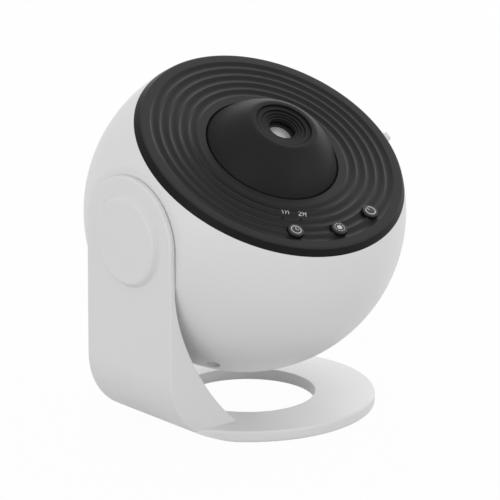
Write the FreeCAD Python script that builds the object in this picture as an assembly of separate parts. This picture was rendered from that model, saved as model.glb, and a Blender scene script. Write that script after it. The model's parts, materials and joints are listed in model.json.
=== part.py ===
import FreeCAD, Part
import math
import os

os.makedirs("parts", exist_ok=True)

# Ball-shaped planetarium projector on a one-armed ring stand. Millimetres, +Z up, front towards -Y.
# The stand is drawn about the ball's centre. Everything in the ball is drawn upright about the same
# centre, with the dark panel on top (+Z) and its buttons towards -Y, and is then leaned forward.

# ---- shared --------------------------------------------------------------------------------------
over = 1.0                  # how far a cutting body runs past the faces it cuts
end_gap = 0.3               # gap at the end of a shaft, pipe or ring
press_gap = 0.05            # radial gap of a pressed-in ring or shaft
screw_room = 0.5            # hole left beyond a screw's end
screw_out = 0.6             # a through screw's end beyond its thread
head_recess = 0.1           # screw heads below the base cover's face

# ---- stand ---------------------------------------------------------------------------------------
ball_radius = 70.0          # outside of the ball
ball_gap = 12.4             # air between the ball and the top of the base ring
head_tilt = 30.0            # degrees that the panel leans forward as the projector stands
ring_height = 5.1           # base ring, underside to top
ring_radius = 55.7          # outside of the base ring
ring_hole = 29.5            # hole through the base ring
flare_radius = 12.0         # hollow curve in plan that leads the arm's sides into the ring
flare_lap = 0.15            # start of that curve inside the arm's side
ring_offset = 1.5           # base ring's centre, beside the ball's centre, away from the arm
arm_width = 56.2
arm_thick = 2.8             # flat upper part of the arm
arm_outer = 65.7            # ball's centre to the arm's outer face
corner_radius = 30.0        # outside bend from the arm into the base
gusset_top = 17.0           # below the pivot, where the arm starts to thicken into the base
gusset_knee = 21.0          # lower ends of the two bends of its curve, below its start
gusset_drop = 49.0
gusset_run = 18.2           # how far in the second bend ends
gusset_foot = 36.7          # how far in from the arm's outer face the thick foot reaches
dish_gap = 1.0              # the thick foot is dished this far clear of the ball
stand_wall = 2.2            # moulded wall of the hollow foot
cavity_start = 0.32         # share of the way down the gusset where the hollow begins
ring_roof = 1.8             # top wall of the hollow base ring
stand_edge = 1.0            # rounding of the stand's outer edges
rib_thick = 1.6             # ribs inside the hollow foot
rib_spacing = 18.0
cover_thick = 1.6           # plate that closes the underside
cover_fit = 0.2             # gap round that plate
cover_screw_angles = (20.0, 70.0, -20.0, -70.0)
foot_angles = (45.0, 112.0, -45.0, -112.0)
foot_radius = 4.5           # rubber feet
foot_thick = 1.2
foot_proud = 0.6            # how far the feet stand out of the plate

# ---- pivot between arm and ball ------------------------------------------------------------------
seat_gap = 0.4              # air between the arm and the ball's flat seat
seat_wall = 3.0             # ball's wall at that seat
hub_radius = 10.0           # pivot boss on the arm, which the ball turns on
hub_fit = 0.08              # radial running clearance on that boss
hub_length = 9.9            # boss, from the arm's inner face
hub_collar = 5.5            # width of the ball's collar round the boss
collar_length = 3.9         # collar, from the seat wall inwards
glide_thick = 0.9           # glide washer between arm and ball
glide_radius = 16.0
slide_gap = 0.05            # faces that slide on each other in the pivot
flange_thick = 2.4          # flange that holds the ball on the boss
nut_radius = 5.0
nut_height = 2.4
pivot_screw_radius = 2.0
pivot_head_radius = 3.8
pivot_head_height = 3.0
screw_sink = 4.7            # depth of the pivot screw's head below the arm's outer face
head_room = 0.4             # gap round screw heads in their recesses
cap_base = 20.7             # round cap over the pivot screw
cap_top = 18.8
cap_height = 2.4
tilt_forward = 60.0         # travel of the ball each way from where it stands
tilt_back = 120.0
lug_angle = 16.0            # stop lug on the flange
lug_reach = 3.5
stop_angle = 10.0           # stop ribs in the ball
stop_margin = 1.5           # degrees left between lug and rib at the end of the travel
stop_gap = 0.4

# ---- ball ----------------------------------------------------------------------------------------
shell_wall = 2.4
seam_height = 33.0          # above the ball's centre, where the white shell ends and the panel starts
tower_angle = 37.0
tower_wall = 1.5
well_radius = 3.2           # wells that the closing screws go in by
tower_top = 26.0
tower_web = 2.4
closing_boss = 2.8          # panel boss that a closing screw bites into
screw_radius = 1.3
screw_head_radius = 2.5
screw_head_height = 1.8
screw_fit = 0.15            # clearance of screws in through holes
screw_bite = 6.0

# ---- front panel ---------------------------------------------------------------------------------
panel_rise = 3.4            # panel's top above the seam
panel_wall = 2.6
rim_round = 0.6             # rounded edge between the panel's flat rim and its ball-shaped band
rim_flat = 3.6
groove_count = 5
groove_pitch = 4.4
groove_depth = 0.65
crest_flat = 0.3            # flat top of the crest between two grooves
spigot_fit = 0.3            # locating ring of the panel inside the shell
spigot_wall = 1.5
spigot_length = 2.6
button_inset = 1.2          # button circle inside the rim's flat, in groove pitches
button_angle = 24.7
button_radius = 3.5
button_proud = 1.3
button_travel = 0.7
button_fit = 0.3
button_flange = 1.0
button_flange_thick = 1.3
button_edge = 0.5
touch_gap = 0.1             # small gap at a face that stops a travelling piece
pipe_radius = 0.7           # clear rods over the two timer lamps
pipe_fit = 0.05
pipe_spread = 5.75          # degrees each side of the timer button
pipe_inset = 3.0            # lamp holes inside the rim's flat, in groove pitches
pipe_head = 1.3             # head that keeps a light rod behind the panel
pipe_head_height = 1.0
pipe_recess = 0.1           # rod's end below the panel's face
chip_half = 0.8
chip_height = 0.8
edge_break = 0.3            # small bevel at the panel's middle hole
chassis_boss = 3.0          # long panel posts that carry the light chassis
ear_bite = 3.0              # screw depth in the panel at the sleeve's ears
control_bite = 4.2

# ---- focusing cone -------------------------------------------------------------------------------
cone_base = 29.4
cone_gap = 0.6
cone_height = 15.35         # lip above the panel
cone_bulge = 1.5            # how far the cone's side swells out from a straight line
cone_wall = 2.0
cone_rim = 1.6              # hidden rim that keeps the cone in the panel
cone_rim_height = 2.0
cone_play = 0.3
lip_radius = 15.1
lip_round = 1.2
funnel_radii = (12.75, 10.2, 8.5, 7.2, 6.1)
funnel_drops = (0.7, 0.55, 0.45, 0.4)
funnel_floor = 1.85
drum_wall = 1.8
drum_root = 0.6             # drum's start above the funnel's floor, inside the cone
focus_turn = 45.0           # degrees of focus travel each way
focus_shift = 1.4           # lens travel each way
pin_radius = 1.45
pin_recess = 0.3            # pins' inner ends outside the barrel's bore
pin_fit = 0.3               # clearance of the cam pins in their slots
pin_depth = 12.25           # pins below the lip

# ---- projection lens -----------------------------------------------------------------------------
sleeve_inner = 10.3
sleeve_wall = 1.9
sleeve_fit = 0.35           # radial gaps inside and outside the fixed sleeve
sleeve_flange = 1.8
sleeve_top_gap = 3.4        # sleeve's end below the funnel floor
flange_lap = 1.0            # sleeve's flange beyond the cone's hidden rim
ear_place = 2.6             # ears beyond the flange's edge
ear_radius = 3.0
lens_depth = 5.45           # barrel's front below the lip
barrel_length = 13.0
barrel_front = 0.8
aperture = 5.1
lens_radius = 7.7
lens_fit = 0.1
lens_edge = 2.2
front_dome = 0.6
rear_dome = 0.9
spacer_wall = 1.2
spacer_length = 4.6
retainer_length = 1.4

# ---- light engine --------------------------------------------------------------------------------
chassis_drop = 9.2          # chassis plate's top below the sleeve's flange
chassis_plate = 2.0
chassis_margin = 6.5        # plate beyond the carrier's pitch circle
chassis_foot_x = 34.0
chassis_foot_y = 16.0
chassis_foot = 3.2
lamp_bore = 13.0
nose_room = 0.2
ear_margin = 1.0            # material round a screw head in the motor's ears
lamp_wall = 2.0
lamp_length = 21.0          # lamp tube below the chassis plate
lens_ledge = 1.2
ledge_thick = 1.2
sink_ear = 3.2              # ears at the lamp tube's end for the heat sink's screws
sink_ear_height = 6.0
sink_ear_floor = 0.8
bearing_radius = 18.42
bearing_wall = 2.0
bearing_height = 3.6
bearing_fit = 0.08
tooth_module = 1.0
carrier_teeth = 48
pinion_teeth = 12
tooth_backlash = 0.24
gear_thick = 3.0
gear_lift = 0.3
film_radius = 20.7
film_thick = 1.0
film_fit = 0.2
film_ledge = 1.3
carrier_floor = 0.7
carrier_wall = 1.5
clip_width = 1.5
clip_thick = 0.8
keeper_radius = 2.2         # hooks that hold the carrier down
keeper_gap = 0.4
keeper_reach = 1.0
keeper_cap = 0.8
keeper_angles = (90.0, 210.0, 330.0)
condenser_radius = 12.8
condenser_flat = 11.6       # dome's radius inside the seating rim
condenser_edge = 2.0
condenser_dome = 4.5
condenser_ring_height = 1.2
condenser_depth = 7.0       # condenser's flat face below the chassis plate's underside
sink_radius = 20.5
sink_base = 3.0
sink_pedestal = 1.4
fin_count = 7
fin_pitch = 5.2
fin_thick = 1.4
fin_length = 14.0
sink_screw_circle = 17.4
led_board_thick = 1.6
led_board_radius = 12.4
led_width = 5.0
led_height = 1.2
led_dome = 2.2
motor_radius = 10.0
motor_length = 13.0
motor_ear = 1.0
motor_nose = 3.0
motor_nose_height = 1.5
motor_screw_spacing = 28.0
shaft_radius = 1.0
shaft_inset = 3.0           # shaft's lower end above the motor's back
pinion_hub = 3.0
pinion_hub_height = 1.2

# ---- boards, socket and slide switch -------------------------------------------------------------
board_thick = 1.6
control_depth = 14.9        # control board, from its outer to its inner edge
control_margin = 4.8        # board's edge inside the panel's locating ring
control_span = 80.0         # degrees
control_drop = 4.2          # control board's top below the panel's underside
control_post_inset = 6.9    # posts inside the board's outer edge
control_post_angle = 35.0
control_post = 2.6
switch_side = 6.0
switch_height = 2.0
plunger_radius = 1.7
plunger_height = 1.5
plunger_room = 0.2          # room below a pressed plunger
main_place = 0.457          # main board's underside below the ball's centre, as a share of its radius
main_share_x = 0.44         # board's half width and half depth, as shares of the ball's radius
main_share_y = 0.40
main_post_inset = 5.0
main_corner = 3.0
chip_side = 9.0             # parts on the main board
chip_thick = 1.2
capacitor_radius = 4.0
capacitor_height = 8.0
coil_side = 7.0
coil_height = 4.0
plug_height = 5.5           # plug housings for the wires
plug_depth = 5.0
plug_lengths = (8.0, 12.0, 12.0)
main_post = 3.2
tongue_half = 8.5
socket_width = 8.9
socket_height = 3.2
socket_length = 7.6
socket_recess = 2.7         # socket's mouth below the ball's surface
pocket_width = 12.4
pocket_height = 7.4
pocket_wall = 2.6
socket_fit = 0.25
socket_roundness = 0.42     # corner rounding, as a share of the socket's height
socket_wall = 0.3
socket_end = 1.0            # closed back of the socket
blade_side = 1.2            # contact blade inside the socket
blade_inset = 0.8
blade_half = 0.35
tongue_gap = 1.0            # board's tongue inside the pocket's wall
nub_width = 4.0
nub_height = 2.6
lever_play = 0.3            # room round the slide switch's lever
slide_body_drop = 2.8       # slide switch's body below its lever's middle
nub_proud = 4.3             # nub beyond the ball's surface
nub_place = 3.9             # nub's place in front of the ball's middle
nub_travel = 4.0
nub_gap = 0.4
nub_round = 1.0
guard_thick = 1.0
guard_play = 0.45           # plate's corners inside the shell
guard_half = 6.0
guard_drop = 1.2
guard_gap = 0.6             # between that plate and the switch body
lever_depth = 2.6
lever_half = 1.0
slide_body_depth = 5.0
slide_body_length = 12.0

# ---- places worked out from the sizes above ------------------------------------------------------
V = FreeCAD.Vector
centre_height = foot_proud + ring_height + ball_gap + ball_radius
centre_side = (arm_outer + cap_height - ball_radius) / 2.0
BASE = -(ball_radius + ball_gap + ring_height)
arm_inner = arm_outer - arm_thick
seat = arm_inner - seat_gap
hub_end = arm_inner - hub_length
collar_end = seat - seat_wall - collar_length
collar_radius = hub_radius + hub_fit + hub_collar
panel_top = seam_height + panel_rise
panel_under = panel_top - panel_wall
rim_edge = math.sqrt(ball_radius ** 2 - panel_top ** 2) - rim_round
groove_end = rim_edge - rim_flat
groove_start = groove_end - groove_count * groove_pitch
panel_hole = cone_base + cone_gap
lip_top = panel_top + cone_height
funnel_bottom = lip_top - sum(funnel_drops)
cone_under = funnel_bottom - funnel_floor
rim_low = panel_under - cone_rim_height + cone_play
flange_top = rim_low - cone_play
sleeve_outer = sleeve_inner + sleeve_wall
drum_inner = sleeve_outer + sleeve_fit
drum_outer = drum_inner + drum_wall
barrel_outer = sleeve_inner - sleeve_fit
barrel_bore = lens_radius + lens_fit
barrel_top = lip_top - lens_depth
pin_height = lip_top - pin_depth
pin_reach = drum_outer - pin_fit
flange_under = flange_top - sleeve_flange
plate_top = flange_under - chassis_drop
plate_under = plate_top - chassis_plate
lamp_end = plate_under - lamp_length
gear_low = plate_top + gear_lift
gear_top = gear_low + gear_thick
bearing_top = plate_top + bearing_height
ledge_low = bearing_top + gear_lift
film_low = ledge_low + carrier_floor
film_top = film_low + film_thick
clip_top = film_top + clip_thick
carrier_pitch = tooth_module * carrier_teeth / 2.0
pinion_pitch = tooth_module * pinion_teeth / 2.0
motor_place = carrier_pitch + pinion_pitch
control_top = panel_under - control_drop
button_low = panel_under - touch_gap - button_flange_thick
well_floor = tower_top - tower_web
tower_radius = well_radius + tower_wall
main_drop = main_place * ball_radius
main_top = -main_drop + board_thick
main_half_x = main_share_x * ball_radius
main_half_y = main_share_y * ball_radius
main_post_x = main_half_x - main_post_inset
main_post_y = main_half_y - main_post_inset
shell_inner = ball_radius - shell_wall
spigot_outer = math.sqrt(shell_inner ** 2 - seam_height ** 2) - spigot_fit
spigot_inner = spigot_outer - spigot_wall
tower_circle = spigot_outer - closing_boss + 0.1
button_circle = groove_end - button_inset * groove_pitch
pipe_circle = groove_end - pipe_inset * groove_pitch
flange_radius = cone_base + cone_rim + flange_lap
ear_circle = flange_radius + ear_place
chassis_radius = carrier_pitch + chassis_margin
control_outer = spigot_inner - control_margin
control_inner = control_outer - control_depth
control_post_circle = control_outer - control_post_inset
nub_high = seam_height - nub_gap
nub_low = nub_high - nub_height
nub_reach = math.sqrt(ball_radius ** 2 - nub_high ** 2 - nub_place ** 2) + nub_proud
guard_corner = nub_place + guard_half
guard_outer = math.sqrt(shell_inner ** 2 - nub_high ** 2 - guard_corner ** 2) - guard_play
guard_place = guard_outer - guard_thick


# ---- drawing helpers -----------------------------------------------------------------------------
def polar(radius, angle):
    """Point at an angle from the front (-Y), positive towards +X."""
    a = math.radians(angle)
    return radius * math.sin(a), -radius * math.cos(a)


def block(x0, x1, y0, y1, z0, z1):
    return Part.makeBox(x1 - x0, y1 - y0, z1 - z0, V(x0, y0, z0))


def rod(x, y, radius, z0, z1):
    return Part.makeCylinder(radius, z1 - z0, V(x, y, z0))


def tube(x, y, outer, inner, z0, z1):
    return rod(x, y, outer, z0, z1).cut(rod(x, y, inner, z0, z1))


def rod_x(y, z, radius, x0, x1):
    return Part.makeCylinder(radius, x1 - x0, V(x0, y, z), V(1, 0, 0))


def tube_x(outer, inner, x0, x1):
    return rod_x(0, 0, outer, x0, x1).cut(rod_x(0, 0, inner, x0, x1))


def fuse(shapes):
    first, rest = shapes[0], shapes[1:]
    return first.fuse(rest).removeSplitter() if rest else first


def ball(radius):
    return Part.makeSphere(radius)


def line(a, b):
    return Part.LineSegment(V(a[0], 0, a[1]), V(b[0], 0, b[1])).toShape()


def arc(a, mid, b):
    return Part.Arc(V(a[0], 0, a[1]), V(mid[0], 0, mid[1]), V(b[0], 0, b[1])).toShape()


def outline(points):
    """Straight edges through (x, z) points, in order."""
    return [line(a, b) for a, b in zip(points, points[1:])]


def revolve(edges):
    face = Part.Face(Part.Wire(edges))
    return face.revolve(V(0, 0, 0), V(0, 0, 1), 360)


def turned(points):
    """Solid turned about Z from a closed straight-sided profile of (radius, z) points."""
    return revolve(outline(list(points) + [points[0]]))


def along_y(edges, half):
    face = Part.Face(Part.Wire(edges))
    face.translate(V(0, -half, 0))
    return face.extrude(V(0, 2 * half, 0))


def screw(x, y, seat_z, length, up, radius=screw_radius):
    """Pan-head screw whose head bears on seat_z; its shank points up or down."""
    if up:
        head = rod(x, y, screw_head_radius, seat_z - screw_head_height, seat_z)
        return head.fuse(rod(x, y, radius, seat_z, seat_z + length)).removeSplitter()
    head = rod(x, y, screw_head_radius, seat_z, seat_z + screw_head_height)
    return head.fuse(rod(x, y, radius, seat_z - length, seat_z)).removeSplitter()


def group(shapes):
    return Part.makeCompound(shapes)


def save(name, shape):
    """A piece of the stand, moved from the ball's centre to its place above the floor."""
    placed = shape.copy()
    placed.translate(V(centre_side, 0, centre_height))
    placed.exportStep("parts/" + name + ".step")


def save_head(name, shape):
    """A piece of the ball: leaned forward with the panel, then moved to its place."""
    placed = shape.copy()
    placed.rotate(V(0, 0, 0), V(1, 0, 0), head_tilt)
    save(name, placed)


# ---- stand: one moulding of arm, foot and base ring ----------------------------------------------
def stand_outline(reach):
    """Side view of the outside: arm's face, large bend, underside, out to x = reach."""
    bend_x = corner_radius - arm_outer
    bend_z = BASE + corner_radius
    turn = corner_radius * math.sqrt(0.5)
    return [
        line((reach, BASE), (reach, arm_width)),
        line((reach, arm_width), (-arm_outer, arm_width)),
        line((-arm_outer, arm_width), (-arm_outer, bend_z)),
        arc((-arm_outer, bend_z), (bend_x - turn, bend_z - turn), (bend_x, BASE)),
        line((bend_x, BASE), (reach, BASE)),
    ]


def gusset_curve(inset):
    """Inner side of the arm as it thickens into the foot, moved outwards by inset."""
    top = V(-arm_inner - 0.2 * inset, 0, -gusset_top - 3 * inset)
    knee = V(-arm_inner - 0.6 * inset, 0, -gusset_top - gusset_knee - 1.6 * inset)
    sweep = V(-arm_outer + gusset_run - inset, 0, -gusset_top - gusset_drop - inset)
    foot = V(-arm_outer + gusset_foot - inset, 0, BASE + ring_height)
    curve = Part.BezierCurve()
    curve.setPoles([top, knee, sweep, foot])
    return curve.toShape(), top, foot


def make_arm():
    curve, top, foot = gusset_curve(0)
    bend_x = corner_radius - arm_outer
    bend_z = BASE + corner_radius
    turn = corner_radius * math.sqrt(0.5)
    reach = ring_offset - ring_hole + 2
    side = [
        line((-arm_outer, arm_width), (-arm_outer, bend_z)),
        arc((-arm_outer, bend_z), (bend_x - turn, bend_z - turn), (bend_x, BASE)),
        line((bend_x, BASE), (reach, BASE)),
        line((reach, BASE), (reach, foot.z)),
        line((reach, foot.z), (foot.x, foot.z)),
        curve,
        line((top.x, top.z), (top.x, arm_width)),
        line((top.x, arm_width), (-arm_outer, arm_width)),
    ]
    half = arm_width / 2.0
    slab = along_y(side, half)
    round_end = rod_x(0, 0, half, -ball_radius, ball_radius)
    below = block(-ball_radius, ball_radius, -half, half, BASE, 0)
    return slab.common(round_end.fuse(below))


def round_outer_edges(arm):
    """Rounds the edges that run round the arm's outer face."""
    edges = []
    bend_x = corner_radius - arm_outer
    for edge in arm.Edges:
        middle = edge.valueAt((edge.FirstParameter + edge.LastParameter) / 2.0)
        on_face = abs(middle.x + arm_outer) < 0.01 and middle.z < arm_width / 2.0 + 0.1
        on_bend = middle.z < BASE + corner_radius / 2 and middle.x < middle.z - BASE + bend_x
        on_side = abs(abs(middle.y) - arm_width / 2.0) < 0.01
        if (on_face and edge.Length > corner_radius) or (on_bend and on_side):
            edges.append(edge)
    return arm.makeFillet(stand_edge, edges)


def foot_cavity():
    """Hollow of the thick foot, open only where the bottom plate closes it."""
    curve, top, foot = gusset_curve(stand_wall)
    inner_radius = corner_radius - stand_wall
    bend_x = corner_radius - arm_outer
    bend_z = BASE + corner_radius
    turn = inner_radius * math.sqrt(0.5)
    wall_x = -arm_outer + stand_wall
    floor = BASE + stand_wall
    knee = curve.Curve.value(cavity_start)
    rest = curve.Curve.copy()
    rest.segment(cavity_start, 1.0)
    start = (wall_x, knee.z - stand_wall)
    side = [
        line(start, (wall_x, bend_z)),
        arc((wall_x, bend_z), (bend_x - turn, bend_z - turn), (bend_x, floor)),
        line((bend_x, floor), (foot.x, floor)),
        line((foot.x, floor), (foot.x, foot.z)),
        rest.toShape(),
        line((knee.x, knee.z), start),
    ]
    half = arm_width / 2.0 - stand_wall
    cavity = along_y(side, half)
    for sign in (-1, 1):
        rib_y = sign * rib_spacing / 2.0
        rib = block(-ball_radius, 0, rib_y - rib_thick / 2, rib_y + rib_thick / 2, BASE, 0)
        cavity = cavity.cut(rib)
    return cavity


def ring_space(inner_gap, outer_gap, low, high):
    """Space between the walls of the base ring, ended short of the bend."""
    space = tube(ring_offset, 0, ring_radius - outer_gap, ring_hole + inner_gap, low, high)
    straight = corner_radius - arm_outer + stand_wall
    return space.common(block(straight, ball_radius, -ball_radius, ball_radius, low, high))


def ring_point(angle):
    middle = (ring_radius + ring_hole) / 2.0
    a = math.radians(angle)
    return ring_offset + middle * math.cos(a), middle * math.sin(a)


def ring_slab():
    """Rounded slab of the base ring, led into the arm's sides by two hollow curves in plan."""
    start_y = arm_width / 2.0 - flare_lap
    reach_y = start_y + flare_radius
    reach_x = math.sqrt((ring_radius + flare_radius) ** 2 - reach_y ** 2)
    share = ring_radius / (ring_radius + flare_radius)
    start_x = ring_offset - reach_x
    end_x = ring_offset - reach_x * share
    end_y = reach_y * share
    lean = (math.pi / 2 - math.atan2(reach_y, reach_x)) / 2.0
    middle_x = start_x + flare_radius * math.sin(lean)
    middle_y = reach_y - flare_radius * math.cos(lean)
    flares = [Part.Arc(V(start_x, side * start_y, BASE), V(middle_x, side * middle_y, BASE),
                       V(end_x, side * end_y, BASE)).toShape() for side in (-1, 1)]
    rim = Part.Arc(V(end_x, -end_y, BASE), V(ring_offset + ring_radius, 0, BASE),
                   V(end_x, end_y, BASE)).toShape()
    back = Part.LineSegment(V(start_x, -start_y, BASE), V(start_x, start_y, BASE)).toShape()
    wire = Part.Wire(Part.__sortEdges__(flares + [rim, back]))
    slab = Part.Face(wire).extrude(V(0, 0, ring_height))
    curved = [e for e in slab.Edges if e.BoundBox.ZLength < 0.01 and e.BoundBox.XLength > 0.01]
    return slab.makeFillet(stand_edge, curved)


cover_top = BASE + cover_thick
roof_under = BASE + ring_height - ring_roof
bend_limit = along_y(stand_outline(2 * ball_radius), ball_radius)
dish = ball(ball_radius + dish_gap).common(block(-arm_inner, ball_radius, -ball_radius, ball_radius,
                                                 BASE, ball_radius))
stand = round_outer_edges(make_arm()).cut(dish).fuse(ring_slab().common(bend_limit))
stand = stand.cut(rod(ring_offset, 0, ring_hole, BASE - over, BASE + ring_height + corner_radius))
stand = stand.cut(ring_space(stand_wall, stand_wall, BASE - over, roof_under))
stand = stand.cut(foot_cavity())
pivot_boss = rod_x(0, 0, hub_radius, -arm_inner, -hub_end)
cover_bosses = []
for angle in cover_screw_angles:
    x, y = ring_point(angle)
    cover_bosses.append(rod(x, y, 2.4 * screw_radius, cover_top, roof_under))
stand = stand.fuse([pivot_boss] + cover_bosses).removeSplitter()
for angle in cover_screw_angles:
    x, y = ring_point(angle)
    stand = stand.cut(rod(x, y, screw_radius, cover_top - over, roof_under + ring_roof / 2))
head_seat = -arm_outer + screw_sink
stand = stand.cut(rod_x(0, 0, pivot_head_radius + head_room, -arm_outer - over, head_seat))
stand = stand.cut(rod_x(0, 0, pivot_screw_radius + screw_fit, head_seat - over, 0))
save("stand_frame", stand)

cover = ring_space(stand_wall + cover_fit, stand_wall + cover_fit, BASE, cover_top)
feet = []
cover_screws = []
for angle in foot_angles:
    x, y = ring_point(angle)
    socket_top = BASE + foot_thick - foot_proud
    cover = cover.cut(rod(x, y, foot_radius + cover_fit, BASE - over, socket_top))
    feet.append(rod(x, y, foot_radius, socket_top - foot_thick, socket_top))
for angle in cover_screw_angles:
    x, y = ring_point(angle)
    sink_top = BASE + cover_thick / 2
    cover = cover.cut(rod(x, y, screw_head_radius + screw_fit, BASE - over, sink_top))
    cover = cover.cut(rod(x, y, screw_radius + screw_fit, BASE, cover_top + over))
    head = rod(x, y, screw_head_radius, BASE + head_recess, sink_top)
    shank = rod(x, y, screw_radius, sink_top, roof_under + ring_roof / 3)
    cover_screws.append(head.fuse(shank).removeSplitter())
save("base_cover", cover)
save("rubber_feet", group(feet))
save("base_screws", group(cover_screws))

# ---- pivot ---------------------------------------------------------------------------------------
cap = Part.makeCone(cap_top, cap_base, cap_height, V(-arm_outer - cap_height, 0, 0), V(1, 0, 0))
cap_rim = [e for e in cap.Edges if abs(e.BoundBox.XMin + arm_outer + cap_height) < 0.01
           and e.BoundBox.XLength < 0.01]
cap = cap.makeFillet(stand_edge, cap_rim)
plug_end = -arm_outer + screw_sink - pivot_head_height - seat_gap
plug = rod_x(0, 0, pivot_head_radius + head_room - cover_fit, -arm_outer, plug_end)
save("arm_cap", cap.fuse(plug).removeSplitter())

flange_out = -hub_end + flange_thick
nut_end = flange_out + nut_height
pivot_screw = rod_x(0, 0, pivot_head_radius, head_seat - pivot_head_height, head_seat)
pivot_screw = pivot_screw.fuse(rod_x(0, 0, pivot_screw_radius, head_seat, nut_end)).removeSplitter()
save("pivot_screw", pivot_screw)


def sector(inner, outer, middle, span, x0, x1):
    """Piece of a ring about the X axis; angles run from +Z towards -Y."""
    a = math.radians(middle - span / 2.0)
    b = math.radians(middle + span / 2.0)
    m = math.radians(middle)

    def at(radius, angle):
        return V(x0, -radius * math.sin(angle), radius * math.cos(angle))
    edges = [
        Part.LineSegment(at(inner, a), at(outer, a)).toShape(),
        Part.Arc(at(outer, a), at(outer, m), at(outer, b)).toShape(),
        Part.LineSegment(at(outer, b), at(inner, b)).toShape(),
        Part.Arc(at(inner, b), at(inner, m), at(inner, a)).toShape(),
    ]
    return Part.Face(Part.Wire(edges)).extrude(V(x1 - x0, 0, 0))


flange = rod_x(0, 0, collar_radius, -hub_end, flange_out)
flange = flange.fuse(rod_x(0, 0, nut_radius, flange_out, nut_end))
lug = sector(collar_radius - over, collar_radius + lug_reach, 180.0, lug_angle, -hub_end, flange_out)
flange = flange.fuse(lug).removeSplitter().cut(rod_x(0, 0, pivot_screw_radius, -hub_end - over, 0))
save("pivot_flange", flange)

glide = tube_x(glide_radius, hub_radius + seat_gap, -arm_inner, -arm_inner + glide_thick)
save("glide_washer", glide)
spring_low = -collar_end + slide_gap
spring = tube_x(collar_radius - seat_gap, hub_radius + seat_gap, spring_low, -hub_end)
save("spring_washer", spring)

# ---- rear shell: hollow ball with its flat pivot seat --------------------------------------------
shell = ball(ball_radius)
shell = shell.common(block(-seat, 2 * ball_radius, -2 * ball_radius, 2 * ball_radius,
                           -2 * ball_radius, seam_height))
hollow = ball(ball_radius - shell_wall)
hollow = hollow.common(block(-seat + seat_wall, 2 * ball_radius, -2 * ball_radius, 2 * ball_radius,
                             -2 * ball_radius, 2 * ball_radius))
shell = shell.cut(hollow)
closing_angles = (tower_angle, -tower_angle, 180.0 - tower_angle, tower_angle - 180.0)
inside = ball(ball_radius - shell_wall / 2)
extras = [rod_x(0, 0, collar_radius, -seat, -collar_end)]
for angle in closing_angles:
    x, y = polar(tower_circle, angle)
    extras.append(rod(x, y, tower_radius, -ball_radius, tower_top).common(inside))
main_posts = [(sx * main_post_x, sy * main_post_y) for sx in (-1, 1) for sy in (-1, 1)]
for x, y in main_posts:
    extras.append(rod(x, y, main_post, -ball_radius, -main_drop).common(inside))
socket_mid = main_top + socket_height / 2
socket_mouth = math.sqrt(ball_radius ** 2 - socket_mid ** 2) - socket_recess
pocket_half_x = pocket_width / 2 + pocket_wall
pocket_half_z = pocket_height / 2 + pocket_wall
extras.append(block(-pocket_half_x, pocket_half_x, socket_mouth - pocket_wall, ball_radius,
                    socket_mid - pocket_half_z, socket_mid + pocket_half_z).common(inside))
# the flange's lug stands at 180 degrees; a stop rib waits at each end of the ball's travel
rib_reach = lug_angle / 2 + stop_angle / 2 + stop_margin
stop_low = collar_radius + stop_gap
for middle in (180.0 - tilt_forward - rib_reach, 180.0 + tilt_back + rib_reach):
    extras.append(sector(stop_low, collar_radius + lug_reach, middle - head_tilt, stop_angle,
                         -seat + seat_wall / 2, flange_out))
shell = shell.fuse(extras)
for angle in closing_angles:
    x, y = polar(tower_circle, angle)
    shell = shell.cut(rod(x, y, well_radius, -ball_radius, well_floor))
    shell = shell.cut(rod(x, y, screw_radius + screw_fit, -ball_radius, tower_top + over))
for x, y in main_posts:
    shell = shell.cut(rod(x, y, screw_radius, -main_drop - screw_bite, -main_drop + over))
shell = shell.cut(rod_x(0, 0, hub_radius + hub_fit, -seat - over, -collar_end + over))
glide_floor = -arm_inner + glide_thick + slide_gap
shell = shell.cut(rod_x(0, 0, glide_radius + seat_gap, -seat - over, glide_floor))
shell = shell.cut(block(-pocket_width / 2, pocket_width / 2, socket_mouth, ball_radius,
                        socket_mid - pocket_height / 2, socket_mid + pocket_height / 2))
mouth_x = socket_width / 2 + socket_fit
mouth_z = socket_height / 2 + socket_fit
shell = shell.cut(block(-mouth_x, mouth_x, socket_mouth - 2 * pocket_wall, ball_radius,
                        socket_mid - mouth_z, socket_mid + mouth_z))
nub_front = -nub_place - nub_width / 2 - nub_gap
nub_back = -nub_place + nub_width / 2 + nub_travel + nub_gap
shell = shell.cut(block(ball_radius / 2, ball_radius, nub_front, nub_back,
                        nub_low - nub_gap, seam_height + over))
save_head("rear_shell", shell)

closing_screws = []
for angle in closing_angles:
    x, y = polar(tower_circle, angle)
    closing_screws.append(screw(x, y, well_floor, tower_web + screw_bite, True))
save_head("closing_screws", group(closing_screws))

# ---- front panel: rippled disc with a ball-shaped rim, turned in one profile ---------------------
def bend(a, corner, b):
    """Arc that rounds the corner between two nearly equal legs a-corner and corner-b."""
    leg_a = V(a[0] - corner[0], 0, a[1] - corner[1])
    leg_b = V(b[0] - corner[0], 0, b[1] - corner[1])
    leg = (leg_a.Length + leg_b.Length) / 2.0
    half = leg_a.getAngle(leg_b) / 2.0
    inward = (leg_a.normalize() + leg_b.normalize()).normalize()
    reach = leg * (1.0 - math.sin(half)) / math.cos(half)
    return arc(a, (corner[0] + inward.x * reach, corner[1] + inward.z * reach), b)


def bulged(a, b, sagitta, share):
    """Point at a share of the way along an arc from a to b that swells to the right of a-b."""
    chord = V(b[0] - a[0], 0, b[1] - a[1])
    radius = (chord.Length ** 2 / 4.0 + sagitta ** 2) / (2.0 * sagitta)
    half_turn = math.asin(chord.Length / (2.0 * radius))
    along = V(chord).normalize()
    across = V(along.z, 0, -along.x)
    turn = half_turn * (2.0 * share - 1.0)
    x = chord.Length / 2.0 + radius * math.sin(turn)
    y = sagitta - radius + radius * math.cos(turn)
    return a[0] + along.x * x + across.x * y, a[1] + along.z * x + across.z * y


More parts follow.
